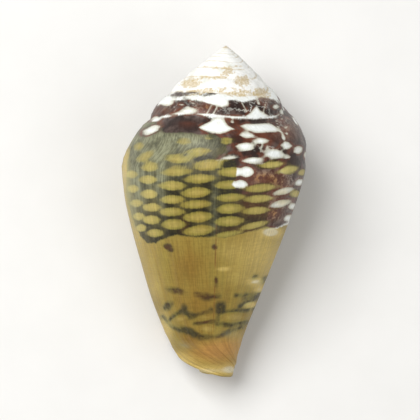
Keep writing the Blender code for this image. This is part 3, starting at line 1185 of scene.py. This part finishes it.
@dataclass(frozen=True)
class Wiring:
    """Adds nodes to a tree and joins them."""

    tree: bpy.types.NodeTree

    def put(self, socket: Socket, value: Value) -> None:
        """Join a socket to a signal, or set it to a value.

        Args:
            socket: The input.
            value: A signal, a number, a vector or a colour.
        """
        if isinstance(value, Signal):
            self.tree.links.new(value.socket, socket)
        elif isinstance(value, tuple) and socket.type == "RGBA":
            socket.default_value = (*value, 1.0)
        else:
            socket.default_value = value

    def node(self, kind: str, given: dict[str | int, Value], **settings: object) -> bpy.types.Node:
        """Add a node.

        Args:
            kind: The node's type.
            given: Its inputs by name or number.
            settings: Its settings.

        Returns:
            The node.
        """
        node = self.tree.nodes.new(kind)
        for name, value in settings.items():
            setattr(node, name, value)
        for name, value in given.items():
            self.put(node.inputs[name], value)
        return node

    def field(self, name: str) -> Signal:
        """Read one of the shell's painted fields."""
        return Signal(self, self.node("ShaderNodeAttribute", {}, attribute_name=name).outputs["Fac"])

    def growth(self) -> Signal:
        """Read the shell's growth map."""
        return Signal(self, self.node("ShaderNodeUVMap", {}, uv_map=GROWTH_MAP).outputs["UV"])

    def place(self) -> Signal:
        """Read the place on the piece itself."""
        return Signal(self, self.node("ShaderNodeTexCoord", {}).outputs["Object"])

    def apart(self, vector: Signal) -> tuple[Signal, Signal]:
        """Split the first two parts of a vector."""
        node = self.node("ShaderNodeSeparateXYZ", {0: vector})
        return Signal(self, node.outputs[0]), Signal(self, node.outputs[1])

    def maths(self, operation: str, *values: Value) -> Signal:
        """Work out one sum with a Math node."""
        node = self.node("ShaderNodeMath", dict(enumerate(values)), operation=operation)
        return Signal(self, node.outputs[0])

    def mix(self, share: Value, a: Value, b: Value, how: str = "MIX") -> Signal:
        """Mix a share of colour b into colour a."""
        node = self.node("ShaderNodeMix", {0: share, 6: a, 7: b}, data_type="RGBA", blend_type=how)
        return Signal(self, node.outputs[2])

    def noise(self, vector: Signal, scale: float, detail: float = 2.0, roughness: float = 0.5) -> Signal:
        """Read smooth noise about 0.5, with scale features in a unit and detail finer layers."""
        given = {"Vector": vector, "Scale": scale, "Detail": detail, "Roughness": roughness}
        return Signal(self, self.node("ShaderNodeTexNoise", given).outputs["Fac"])

    def growth_lines(self, group: bpy.types.NodeTree, per_turn: float, threads: float) -> list[Signal]:
        """Place the node group of growth lines.

        Args:
            group: The group.
            per_turn: Lines in a turn.
            threads: Threads from the shoulder to the base.

        Returns:
            The lines, the broad bands and the threads.
        """
        node = self.node("ShaderNodeGroup", {}, node_tree=group)
        for name, value in {"Growth": self.growth(), "Lines": per_turn, "Threads": threads}.items():
            self.put(node.inputs[name], value)
        return [Signal(self, node.outputs[name]) for name in ("Lines", "Bands", "Threads")]

    def bump(self, height: Signal, strength: float) -> Signal:
        """Turn a height, from 0 to 1, into a normal."""
        given = {"Height": height, "Strength": strength, "Distance": BUMP_DISTANCE}
        return Signal(self, self.node("ShaderNodeBump", given).outputs["Normal"])


@dataclass(frozen=True)
class GrowthLines:
    """Fine lines along the old lips, and finer threads across them, as a node group that both skins use."""

    name: str = "growth_lines"
    stretch: float = 7.0
    band_stretch: float = 1.5
    thread_stretch: float = 20.0
    band_share: float = 0.13
    line_step: Span = (0.36, 0.62)
    thread_step: Span = (0.35, 0.65)

    def make(self) -> bpy.types.NodeTree:
        """Build the group.

        Returns:
            The group, with the inputs Growth, Lines and Threads and the outputs Lines, Bands and Threads.
        """
        tree = bpy.data.node_groups.new(self.name, "ShaderNodeTree")
        for name, kind in {"Growth": "Vector", "Lines": "Float", "Threads": "Float"}.items():
            tree.interface.new_socket(name, in_out="INPUT", socket_type="NodeSocket" + kind)
        for name in ("Lines", "Bands", "Threads"):
            tree.interface.new_socket(name, in_out="OUTPUT", socket_type="NodeSocketFloat")
        wire = Wiring(tree)
        given, result = tree.nodes.new("NodeGroupInput"), tree.nodes.new("NodeGroupOutput")
        growth = Signal(wire, given.outputs["Growth"])
        per_turn, per_row = Signal(wire, given.outputs["Lines"]), Signal(wire, given.outputs["Threads"])
        turns, row = wire.apart(growth)
        lines = self.streaky(wire, turns * per_turn, row * self.stretch, 1.0)
        threads = self.streaky(wire, row * per_row, turns * self.thread_stretch, 1.0)
        bands = self.streaky(wire, turns * (per_turn * self.band_share), row * self.band_stretch, 2.0)
        wire.put(result.inputs["Lines"], lines.step(*self.line_step))
        wire.put(result.inputs["Threads"], threads.step(*self.thread_step))
        wire.put(result.inputs["Bands"], bands)
        return tree

    def streaky(self, wire: Wiring, fine: Signal, long: Signal, detail: float) -> Signal:
        """Read noise that is fine one way and long the other."""
        node = wire.node("ShaderNodeCombineXYZ", {0: fine, 1: long})
        return wire.noise(Signal(wire, node.outputs[0]), 1.0, detail)


def new_material(name: str) -> tuple[bpy.types.Material, Wiring, bpy.types.Node]:
    """Start a material.

    Args:
        name: Its name.

    Returns:
        The material, its wiring and its shader.
    """
    material = bpy.data.materials.new(name)
    material.use_nodes = True
    return material, Wiring(material.node_tree), material.node_tree.nodes["Principled BSDF"]


@dataclass(frozen=True)
class Grain:
    """What the layers of the outside are mixed by: the growth map, its lines, noise, and the marks."""

    turns: Signal
    row: Signal
    hair: Signal
    bands: Signal
    threads: Signal
    fine: Signal
    broad: Signal
    pale: Signal
    marked: Signal
    warm: Signal


@dataclass(frozen=True)
class OutsideFinish:
    """The outside: white shell with chocolate marks where it is worn, and a yellow skin over the rest.

    Each edge and each pair of rows says where a soft step starts and ends.
    """

    white: Tone = shown(240, 243, 240)
    white_low: Tone = shown(226, 227, 216)
    ivory: Tone = shown(178, 174, 148)
    chocolate: Tone = shown(44, 30, 26)
    chocolate_pale: Tone = shown(86, 70, 64)
    rust: Tone = shown(108, 54, 30)
    ochre: Tone = shown(154, 134, 60)
    moss: Tone = shown(146, 138, 64)
    straw: Tone = shown(196, 186, 110)
    ochre_deep: Tone = shown(134, 100, 36)
    butter: Tone = shown(204, 178, 100)
    cream: Tone = shown(226, 216, 182)
    olive: Tone = shown(32, 28, 12)
    olive_pale: Tone = shown(74, 68, 38)
    brown: Tone = shown(84, 50, 24)
    haze: Tone = shown(147, 148, 118)
    tan: Tone = shown(198, 176, 130)
    orange: Tone = shown(190, 138, 72)
    line_red: Tone = shown(116, 72, 34)
    chalk: Tone = shown(246, 246, 242)
    lines_per_turn: float = 330.0
    threads: float = 150.0
    mottle: float = 2600.0
    broad_share: float = 0.22
    scratches: float = 700.0
    blotches: float = 1300.0
    break_turns: float = 0.3425
    network_rows: Span = (0.48, 0.60)
    pigment_edge: Span = (-1.0, 1.3)
    network_edge: Span = (-2.6, 1.7)
    spot_edge: Span = (-1.9, 2.0)
    worn_spot_edge: Span = (-0.8, 1.0)
    worn_edge: Span = (-0.8, 1.2)
    satin: Span = (0.38, 0.54)
    glossy: Span = (0.30, 0.46)
    chalk_roughness: float = 0.22
    refraction: float = 1.38

    def make(self, growth_lines: bpy.types.NodeTree) -> bpy.types.Material:
        """Build the material.

        Args:
            growth_lines: The node group of growth lines.

        Returns:
            The material.
        """
        material, wire, shader = new_material("shell_outside")
        grain = self.grain(wire, growth_lines)
        hair, fine = grain.hair, grain.fine
        worn = wire.field("worn") + (grain.broad - 0.5) * 5.0 + (hair - 0.5) * 0.6
        worn = worn.step(*self.worn_edge)
        colour = wire.mix(worn, self.covered(wire, grain), self.bare(wire, grain))
        colour = wire.mix(self.crack(grain), colour, self.line_red)
        shading = hair.step(0.0, 1.0, 0.88, 1.04) * grain.threads.step(0.0, 1.0, 0.955, 1.02)
        shading = (shading * fine.step(0.3, 0.7, 0.93, 1.05)) ** worn.step(0.0, 1.0, 1.0, 0.5)
        satin, glossy = fine.step(0.25, 0.75, *self.satin), fine.step(0.25, 0.75, *self.glossy)
        rough = satin + worn * (glossy - satin) + wire.field("chalk") * self.chalk_roughness
        height = hair * 0.35 + grain.threads * 0.15 + fine * 0.6
        wire.put(shader.inputs["Base Color"], wire.mix(1.0, colour, shading, "MULTIPLY"))
        wire.put(shader.inputs["Roughness"], rough)
        wire.put(shader.inputs["Normal"], wire.bump(height, 0.5))
        wire.put(shader.inputs["IOR"], self.refraction)
        return material

    def grain(self, wire: Wiring, growth_lines: bpy.types.NodeTree) -> Grain:
        """Read what the layers share, with the edges of the marks made a little ragged.

        Args:
            wire: The material's wiring.
            growth_lines: The node group of growth lines.

        Returns:
            The shared signals.
        """
        hair, bands, threads = wire.growth_lines(growth_lines, self.lines_per_turn, self.threads)
        turns, row = wire.apart(wire.growth())
        place = wire.place()
        fine = wire.noise(place, self.mottle, 3.0, 0.6)
        broad = wire.noise(place, self.broad_share * self.mottle, 3.0, 0.6)
        ragged, rough = broad - 0.5, fine - 0.5
        pale = wire.field("pale") + rough * 0.8 + ragged * 1.6
        pigment = wire.field("pigment") + (rough + hair * 0.25) * 2.2 + ragged * 4.0
        sharp, soft = pigment.step(*self.pigment_edge), pigment.step(*self.network_edge)
        marked = sharp + (soft - sharp) * row.step(*self.network_rows)
        warm = wire.field("warm").at_most(1.0)
        return Grain(turns, row, hair, bands, threads, fine, broad, pale, marked, warm)

    def crack(self, grain: Grain) -> Signal:
        """Mark the thin red line where growth once stopped.

        Args:
            grain: The shared signals.

        Returns:
            How much of the line shows.
        """
        thin = abs(grain.turns - self.break_turns).step(0.0004, 0.0024, 0.60, 0.0)
        rows = grain.row.step(0.10, 0.45) * grain.row.step(0.78, 0.84, 1.0, 0.0)
        return thin * rows * grain.broad.step(0.42, 0.58)

    def covered(self, wire: Wiring, grain: Grain) -> Signal:
        """Mix the colour of the skin-covered shell.

        Args:
            wire: The material's wiring.
            grain: The shared signals.

        Returns:
            The colour.
        """
        broad, bands, hair, marked, row = grain.broad, grain.bands, grain.hair, grain.marked, grain.row
        tone = wire.field("tone")
        ground = wire.mix(marked * 0.85, self.ochre, self.moss)
        ground = wire.mix(broad.step(0.35, 0.7, 0.0, 0.25), ground, self.ochre_deep)
        ground = wire.mix(bands.step(0.35, 0.7) * marked.step(0.0, 1.0, 0.35, 0.15), ground, self.ochre_deep)
        ground = wire.mix(tone.step(0.0, 0.6, 0.0, 0.9), ground, self.butter)
        ground = wire.mix(marked * tone.step(0.0, 0.6, 0.0, 0.8), ground, self.straw)
        ground = wire.mix(tone.step(0.6, 1.2), ground, self.cream)
        ground = wire.mix(tone.step(-0.35, 0.0, 1.0, 0.0), ground, self.ochre_deep)
        ground = wire.mix(grain.pale.step(0.6, 3.4, 0.0, 0.32), ground, self.butter)
        stain = wire.mix(bands.step(0.42, 0.62) * 0.3, self.orange, self.line_red)
        ground = wire.mix(grain.warm * row.step(0.74, 0.86, 0.0, 0.8), ground, stain)
        dark = wire.mix(broad.step(0.40, 0.68), self.olive, self.olive_pale)
        dark = wire.mix(grain.warm, dark, self.brown)
        in_spot = grain.pale.step(*self.spot_edge)
        broken = grain.pale.step(-1.2, 0.4, 1.0, 0.0) * 0.74 + hair.step(0.3, 0.7, 0.58, 0.26)
        faded = row.step(0.50, 0.62) * broad.step(0.38, 0.56, 0.50, 0.0)
        share = marked * in_spot.step(0.0, 1.0, 1.0, 0.0) * broken.at_most(1.0)
        share = share * grain.fine.step(0.2, 0.6, 0.85, 1.0) * wire.maths("SUBTRACT", 1.0, faded)
        share = share * tone.step(0.20, 0.70, 1.0, 0.35)
        cloud = wire.field("haze").at_most(1.0) * broad.step(0.30, 0.62, 0.30, 0.85)
        cloud = cloud * in_spot.step(0.0, 1.0, 1.0, 0.42) * hair.step(0.2, 0.8, 0.72, 1.0)
        return wire.mix(cloud, wire.mix(share, ground, dark), self.haze)

    def bare(self, wire: Wiring, grain: Grain) -> Signal:
        """Mix the colour of the worn shell.

        Args:
            wire: The material's wiring.
            grain: The shared signals.

        Returns:
            The colour.
        """
        broad, marked, warm = grain.broad, grain.marked, grain.warm
        chalk, place = wire.field("chalk"), wire.place()
        white = wire.mix(broad.step(0.45, 0.75), wire.mix(chalk, self.white, self.chalk), self.white_low)
        white = wire.mix(wire.field("tone").step(0.3, 0.8), white, self.cream)
        white = wire.mix(marked * grain.pale.step(0.0, 2.6, 0.75, 0.0), white, self.ivory)
        seam = abs(grain.row + 0.5).step(0.38, 0.50) * chalk * broad.step(0.36, 0.6)
        white = wire.mix(seam * 0.7, white, self.tan)
        tan = (wire.field("tan") + grain.fine.step(0.3, 0.7, -2.0, 2.0)).step(-0.6, 1.2)
        white = wire.mix(tan * grain.hair.step(0.1, 0.9, 0.95, 0.5), white, self.tan)
        dark = wire.mix(broad.step(0.42, 0.66), self.chocolate, self.chocolate_pale)
        dark = wire.mix(warm * 0.7, dark, self.rust)
        dark = wire.mix(grain.pale.step(-2.6, -0.4, 0.0, 0.8) * broad.step(0.35, 0.6), dark, self.rust)
        freckled = warm * wire.noise(place, self.blotches, 3.0, 0.6).step(0.46, 0.62)
        scratched = abs(wire.noise(place, self.scratches, 4.0, 0.65) - 0.5).step(0.008, 0.030, 1.0, 0.0)
        scratched = scratched * warm.step(0.0, 0.8, 0.9, 0.2)
        # the flecks field also carries a painted highlight: pale specks where the light glints below the
        # shoulder
        flecks_and_glint = wire.field("freckles_and_glint") * freckled.at_least(scratched) * 0.8
        dark = wire.mix(flecks_and_glint, dark, wire.mix(warm, self.white_low, self.orange))
        return wire.mix(marked * grain.pale.step(*self.worn_spot_edge).step(0.0, 1.0, 1.0, 0.0), white, dark)


@dataclass(frozen=True)
class LiningFinish:
    """The smooth pale lining of the hollow and the lip."""

    porcelain: Tone = shown(228, 226, 218)
    cream: Tone = shown(214, 202, 168)
    lines_per_turn: float = 120.0
    threads: float = 30.0
    clouds: float = 420.0
    glossy: Span = (0.18, 0.30)

    def make(self, growth_lines: bpy.types.NodeTree) -> bpy.types.Material:
        """Build the material.

        Args:
            growth_lines: The node group of growth lines.

        Returns:
            The material.
        """
        material, wire, shader = new_material("shell_lining")
        hair, bands, _ = wire.growth_lines(growth_lines, self.lines_per_turn, self.threads)
        broad = wire.noise(wire.place(), self.clouds, 3.0)
        colour = wire.mix(broad.step(0.40, 0.70), self.porcelain, self.cream)
        colour = wire.mix(hair.step(0.0, 1.0, 0.12, 0.0), colour, self.cream)
        wire.put(shader.inputs["Base Color"], colour)
        wire.put(shader.inputs["Roughness"], broad.step(0.3, 0.7, *self.glossy))
        wire.put(shader.inputs["Normal"], wire.bump(bands, 0.25))
        return material


@dataclass(frozen=True)
class FloorFinish:
    """The plain pale floor."""

    pale: Tone = shown(232, 231, 228)
    low: Tone = shown(226, 225, 222)
    grain: float = 160.0

    def make(self) -> bpy.types.Material:
        """Build the material."""
        material, wire, shader = new_material("floor")
        grain = wire.noise(wire.place(), self.grain, 3.0)
        wire.put(shader.inputs["Base Color"], wire.mix(grain, self.pale, self.low))
        wire.put(shader.inputs["Roughness"], grain.step(0.3, 0.7, 0.80, 0.90))
        return material


class Sheet(Enum):
    """The sheets that the shell's skin is joined from."""

    WHORLS = "outside"
    SIDE = "outside_below"
    COLUMN = "column"
    LINING = "lining"
    LIP_EDGE = "lip_edge"


@dataclass
class ShellBody:
    """The whole shell as one closed skin, joined from the sheets of its growth."""

    law: GrowthLaw = field(default_factory=GrowthLaw)
    relief: Relief = field(default_factory=Relief)
    lie: Lie = field(default_factory=Lie)
    steps_per_turn: int = 300
    spire_turns: float = 9.5
    ramp_rows: int = 13
    under_shoulder: float = 0.009
    row_stops: tuple[float, ...] = (0.42, 0.60, 0.82)
    rows_between: tuple[int, ...] = (64, 13, 32)
    base_rows: int = 16
    crowding: float = 1.5
    hollow_steps: int = 50
    hollow_crowding: float = 1.5
    lip_rows: int = 4
    merge: float = 1e-6
    shift: Vector = field(default_factory=Vector)
    smooth_angle: float = math.radians(50.0)
    tip_depth: float = 0.00006
    hand_over: float = 18.0
    held_on: float = 7.0
    spot_taper: float = 0.35
    spot_gap: float = 9.0
    gap_taper: float = 0.7
    chalk_from: float = 1.62
    chalk_fade: float = 0.35
    chalk_rows: float = 0.5
    suture_row: float = -0.999

    def ramp_row_values(self) -> np.ndarray:
        """Give the rows of the ramp, from the suture to the shoulder."""
        return np.linspace(-1.0, 0.0, self.ramp_rows + 1)

    def column_row_values(self) -> np.ndarray:
        """Give the rows of the side from the hollow's ceiling to the base.

        They lie closest where the spots are, and close in on the base's rounded edge.
        """
        stops = (self.law.ceiling, *self.row_stops)
        parts = [
            np.linspace(low, high, count, endpoint=False)
            for low, high, count in zip(stops, stops[1:], self.rows_between)
        ]
        even = np.linspace(0.0, 1.0, self.base_rows + 1)
        parts.append(stops[-1] + (1.0 - stops[-1]) * (1.0 - (1.0 - even) ** self.crowding))
        return np.concatenate(parts)

    def side_row_values(self) -> np.ndarray:
        """Give the rows of the side from the shoulder to the base."""
        return np.concatenate(([0.0, self.under_shoulder], self.column_row_values()))

    def wall_row_values(self) -> np.ndarray:
        """Give the rows of the whole growing edge."""
        return np.concatenate((self.ramp_row_values(), [self.under_shoulder], self.column_row_values()))

    def outside(
        self, turns: np.ndarray, row: np.ndarray, floor: np.ndarray | float, keep: np.ndarray | float,
    ) -> Pair:
        """Find a point of the outside with its relief.

        Args:
            turns: Turns back from the lip.
            row: The row.
            floor: The floor's depth.
            keep: The share of the relief that is kept.

        Returns:
            Its radius and depth.
        """
        step = self.law.slope_step
        above = self.law.section(turns, np.maximum(row - step, -1.0), floor)
        below = self.law.section(turns, np.minimum(row + step, 1.0), floor)
        across, down = below[0] - above[0], below[1] - above[1]
        height = keep * self.relief.height(self.law, turns, row) / np.hypot(across, down)
        radius, depth = self.law.section(turns, row, floor)
        return radius + height * down, depth - height * across

    def skin_point(self, grown: np.ndarray, row: np.ndarray) -> Point:
        """Find the turns, radius and depth of a point of the outer skin, grown turns behind the lip."""
        turns = grown + self.law.lip_turns(row)
        return turns, *self.outside(turns, row, self.law.length, 1.0)

    def back_from_lip(self, share: np.ndarray, row: np.ndarray) -> np.ndarray:
        """Give the turns at a share of the way from the lip's edge to the hollow's end."""
        start = self.law.lip_turns(row)
        return start + share * (self.law.hollow_turns - start)

    def column_point(self, share: np.ndarray, row: np.ndarray) -> Point:
        """Find a point of the turn inside the hollow.

        Args:
            share: 0 at the lip and 1 at the hollow's end.
            row: The row.

        Returns:
            Turns back from the lip's shoulder, counted on the turn inside, radius and depth.
        """
        turns = self.back_from_lip(share, row)
        keep = 1.0 - smooth_step((turns - self.law.lip_turns(row)) / self.relief.fade_turns)
        return turns + 1.0, *self.outside(turns + 1.0, row, self.law.hollow_floor(turns), keep)

    def lining_point(self, share: np.ndarray, row: np.ndarray) -> Point:
        """Find a point of the outer wall's inner face, with the same arguments as column_point."""
        turns = self.back_from_lip(share, row)
        return turns, *self.law.inside(turns, row)

    def lip_point(self, across: np.ndarray, row: np.ndarray) -> Point:
        """Find a point of the lip's edge, from the inner face, across 0, to the outer, across 1."""
        none = np.zeros_like(row)
        turns, skin_r, skin_d = self.skin_point(none, row)
        _, lining_r, lining_d = self.lining_point(none, row)
        return turns, lining_r + across * (skin_r - lining_r), lining_d + across * (skin_d - lining_d)

    def add_sheet(
        self, sheet: Sheet, columns: np.ndarray, rows: np.ndarray, material: bpy.types.Material,
    ) -> bpy.types.Object:
        """Add a grid and carry it to its place on the shell.

        Args:
            sheet: Which sheet it is.
            columns: The sheet's columns, in the first coordinate of its point method.
            rows: The sheet's rows.
            material: Its finish.

        Returns:
            The sheet, with the growth map filled in.
        """
        bpy.ops.object.select_all(action="DESELECT")
        across, down = len(columns) - 1, len(rows) - 1
        bpy.ops.mesh.primitive_grid_add(x_subdivisions=across, y_subdivisions=down, size=1.0)
        grid = bpy.context.object
        mesh = grid.data
        flat = np.empty(len(mesh.vertices) * 3)
        mesh.vertices.foreach_get("co", flat)
        share = flat.reshape(-1, 3)[:, :2] + 0.5
        column = columns[np.rint(share[:, 0] * across).astype(int)]
        row = rows[np.rint(share[:, 1] * down).astype(int)]
        find = {
            Sheet.WHORLS: self.skin_point,
            Sheet.SIDE: self.skin_point,
            Sheet.COLUMN: self.column_point,
            Sheet.LINING: self.lining_point,
            Sheet.LIP_EDGE: self.lip_point,
        }[sheet]
        turns, radius, depth = find(column, row)
        mesh.vertices.foreach_set("co", self.law.place(turns, radius, depth).ravel())
        corner = np.empty(len(mesh.loops), dtype=np.int32)
        mesh.loops.foreach_get("vertex_index", corner)
        while mesh.uv_layers:
            mesh.uv_layers.remove(mesh.uv_layers[0])
        growth = np.stack((turns - self.law.lip_turns(row), row), axis=-1)
        mesh.uv_layers.new(name=GROWTH_MAP).uv.foreach_set("vector", growth[corner].ravel())
        for name, values in {"turns": turns, "row": row}.items():
            mesh.attributes.new(name, "FLOAT", "POINT").data.foreach_set("value", values)
        mesh.materials.append(material)
        grid.name = sheet.value
        log.info("sheet %s has %d vertices", sheet.value, len(mesh.vertices))
        return grid

    def build(self, name: str, outside: bpy.types.Material, lining: bpy.types.Material) -> bpy.types.Object:
        """Make the shell's skin.

        Args:
            name: The piece's name.
            outside: The finish of the outside.
            lining: The finish of the hollow and of the lip's edge.

        Returns:
            The shell, in place in the part's frame.
        """
        turn = np.linspace(0.0, 1.0, self.steps_per_turn + 1)
        spire = np.arange(round(self.spire_turns * self.steps_per_turn) + 1) / self.steps_per_turn
        hollow = np.linspace(0.0, 1.0, self.hollow_steps + 1) ** self.hollow_crowding
        across = np.linspace(0.0, 1.0, self.lip_rows + 1)
        sheets = [
            self.add_sheet(Sheet.WHORLS, spire, self.ramp_row_values(), outside),
            self.add_sheet(Sheet.SIDE, turn, self.side_row_values(), outside),
            self.add_sheet(Sheet.COLUMN, hollow, self.column_row_values(), lining),
            self.add_sheet(Sheet.LINING, hollow, self.wall_row_values(), lining),
            self.add_sheet(Sheet.LIP_EDGE, across, self.wall_row_values(), lining),
        ]
        bpy.ops.object.select_all(action="DESELECT")
        for sheet in sheets:
            sheet.select_set(True)
        bpy.context.view_layer.objects.active = sheets[0]
        bpy.ops.object.join()
        shell = bpy.context.object
        shell.name = shell.data.name = name
        self.close()
        self.point_tip(shell)
        shell.data.transform(self.lie.matrix())
        low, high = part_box("shell")
        points = np.array([corner.co for corner in shell.data.vertices])
        middle = 0.5 * (points.min(axis=0) + points.max(axis=0))
        aside, ahead = 0.5 * (low.x + high.x) - middle[0], 0.5 * (low.y + high.y) - middle[1]
        self.shift = Vector((aside, ahead, low.z - points[:, 2].min()))
        shell.data.transform(Matrix.Translation(self.shift))
        bpy.ops.object.shade_smooth_by_angle(angle=self.smooth_angle)
        return shell

    def close(self) -> None:
        """Merge the joined sheets' shared edges and close the base, the hollow's end and the spire's tip.

        It works on the active object, which the sheets were joined to.
        """
        bpy.ops.object.mode_set(mode="EDIT")
        bpy.ops.mesh.select_mode(type="VERT")
        bpy.ops.mesh.select_all(action="SELECT")
        bpy.ops.mesh.remove_doubles(threshold=self.merge)
        bpy.ops.mesh.select_all(action="DESELECT")
        bpy.ops.mesh.select_non_manifold()
        bpy.ops.mesh.edge_face_add()
        bpy.ops.mesh.select_all(action="DESELECT")
        bpy.ops.mesh.select_mode(type="FACE")
        bpy.ops.mesh.select_face_by_sides(number=4, type="GREATER")
        bpy.ops.mesh.poke()
        bpy.ops.mesh.select_all(action="SELECT")
        bpy.ops.mesh.normals_make_consistent(inside=False)
        bpy.ops.object.mode_set(mode="OBJECT")

    def point_tip(self, shell: bpy.types.Object) -> None:
        """Raise the middle of the tip's cap, so that the spire ends in a small blunt point."""
        tip = max(shell.data.vertices, key=lambda corner: corner.co.y - math.hypot(corner.co.x, corner.co.z))
        tip.co = Vector((0.0, -self.tip_depth, 0.0))

    def to_the_edge(self, own: np.ndarray, row: np.ndarray, beyond: np.ndarray) -> np.ndarray:
        """Take places along their turn to the edge of what the photograph sees.

        Args:
            own: Places in the shell's own frame.
            row: Their rows, from -1 at the suture to 0 at the shoulder and 1 at the base.
            beyond: How many turns past the edge each lies, 0 where the photograph sees it.

        Returns:
            The places moved, in the shell's own frame.
        """
        angle = -2.0 * math.pi * beyond
        size = 1.0 + (self.law.turn_growth**beyond - 1.0) * (1.0 - np.clip(row, 0.0, 1.0))
        across = own[:, 0] * np.cos(angle) + own[:, 2] * np.sin(angle)
        up = own[:, 2] * np.cos(angle) - own[:, 0] * np.sin(angle)
        return np.stack((across, own[:, 1], up), axis=-1) * size[:, None]

    def paint(self, shell: bpy.types.Object, view: View) -> None:
        """Give the shell the fields that its colours are mixed from.

        What the photograph sees follows the marks on the back, and the rest carries the pattern on.

        Args:
            shell: The shell in its place.
            view: How the photograph sees it.
        """
        mesh = shell.data
        count = len(mesh.vertices)
        points, turns, row = np.empty(count * 3), np.empty(count), np.empty(count)
        mesh.vertices.foreach_get("co", points)
        mesh.attributes["turns"].data.foreach_get("value", turns)
        mesh.attributes["row"].data.foreach_get("value", row)
        at_seam = row < self.suture_row
        turns, row = turns + at_seam, np.where(at_seam, 0.0, row)
        lie, shift = np.array(self.lie.matrix().to_3x3()), np.array(self.shift)
        own = (points.reshape(-1, 3) - shift) @ lie
        radius, depth = np.hypot(own[:, 0], own[:, 2]), -own[:, 1]
        hidden = HiddenMarks(self.law, self.relief)
        beyond = hidden.past_the_edge(turns)
        turned = self.to_the_edge(own, row, beyond) @ lie.T + shift
        away = np.abs(beyond) * 2.0 * math.pi * radius * view.pixels_per_metre(self.law.length)
        near = BackMarks().fields(*view.project(turned, self.shift, self.law.length))
        far = hidden.fields(turns, row, radius, depth)
        handed_over = smooth_step((away - self.held_on) / self.hand_over)
        painted = {name: values + handed_over * (far[name] - values) for name, values in near.items()}
        held_back = np.clip(self.spot_gap - self.gap_taper * away, 0.0, None) * ((row < 0.0) | (turns > 1.0))
        painted["pale"] = np.maximum(near["pale"] - self.spot_taper * away, far["pale"] - held_back)
        painted["chalk"] = smooth_step((turns - self.chalk_from) / self.chalk_fade) * (row < self.chalk_rows)
        for name, values in painted.items():
            mesh.attributes.new(name, "FLOAT", "POINT").data.foreach_set("value", values)


@dataclass
class Studio:
    """The pale floor, the soft light and the camera that sees the shell as the photograph does."""

    view: View
    sensor: float = 36.0
    key_place: tuple[float, float, float] = (-0.16, 0.10, 0.30)
    key_size: float = 0.22
    key_power: float = 1.22
    fill_place: tuple[float, float, float] = (0.22, -0.12, 0.26)
    fill_size: float = 0.30
    fill_power: float = 0.35
    world_strength: float = 0.34
    floor_size: float = 1.6

    def add_camera(self, tip: Vector, length: float) -> None:
        """Add the camera and make it the scene's own.

        Args:
            tip: Where the spire's tip is.
            length: The shell's length along its axis.
        """
        right, up, towards = self.view.axes()
        data = bpy.data.cameras.new("camera")
        data.sensor_width = self.sensor
        data.lens = self.sensor * self.view.distance * self.view.pixels_per_metre(length) / self.view.picture
        camera = bpy.data.objects.new("camera", data)
        bpy.context.scene.collection.objects.link(camera)
        turn = Matrix((right, up, towards)).transposed().to_4x4()
        camera.matrix_world = Matrix.Translation(self.view.eye(tip, length)) @ turn
        bpy.context.scene.camera = camera

    def add_light(self, name: str, place: Vector, size: float, power: float) -> None:
        """Add a square soft light that faces the shell.

        Args:
            name: The light's name.
            place: Where it stands.
            size: The length of its side.
            power: Its power in watts.
        """
        data = bpy.data.lights.new(name, "AREA")
        data.shape = "SQUARE"
        data.size = size
        data.energy = power
        light = bpy.data.objects.new(name, data)
        light.location = place
        light.rotation_euler = (-place).to_track_quat("-Z", "Y").to_euler()
        bpy.context.scene.collection.objects.link(light)

    def add_floor(self, finish: bpy.types.Material) -> None:
        """Add the floor.

        Args:
            finish: Its material.
        """
        bpy.ops.object.select_all(action="DESELECT")
        bpy.ops.mesh.primitive_plane_add(size=self.floor_size)
        floor = bpy.context.object
        floor.name = "floor"
        floor.data.materials.append(finish)

    def build(self, tip: Vector, length: float) -> None:
        """Add the floor, the lights, the world and the camera.

        Args:
            tip: Where the spire's tip is.
            length: The shell's length along its axis.
        """
        self.add_floor(FloorFinish().make())
        self.add_light("key", Vector(self.key_place), self.key_size, self.key_power)
        self.add_light("fill", Vector(self.fill_place), self.fill_size, self.fill_power)
        world = bpy.data.worlds.new("studio")
        world.use_nodes = True
        world.node_tree.nodes["Background"].inputs["Color"].default_value = (1.0, 1.0, 1.0, 1.0)
        world.node_tree.nodes["Background"].inputs["Strength"].default_value = self.world_strength
        bpy.context.scene.world = world
        bpy.context.scene.view_settings.view_transform = "Standard"
        self.add_camera(tip, length)


def main() -> None:
    """Build the shell, its floor, the light and the camera."""
    logging.basicConfig(level=logging.INFO, format="%(message)s")
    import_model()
    growth_lines = GrowthLines().make()
    body = ShellBody()
    view = View(body.lie)
    shell = body.build("shell_skin", OutsideFinish().make(growth_lines), LiningFinish().make(growth_lines))
    body.paint(shell, view)
    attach(shell, "root")
    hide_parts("shell")
    Studio(view).build(body.shift, body.law.length)


if __name__ == "__main__":
    main()
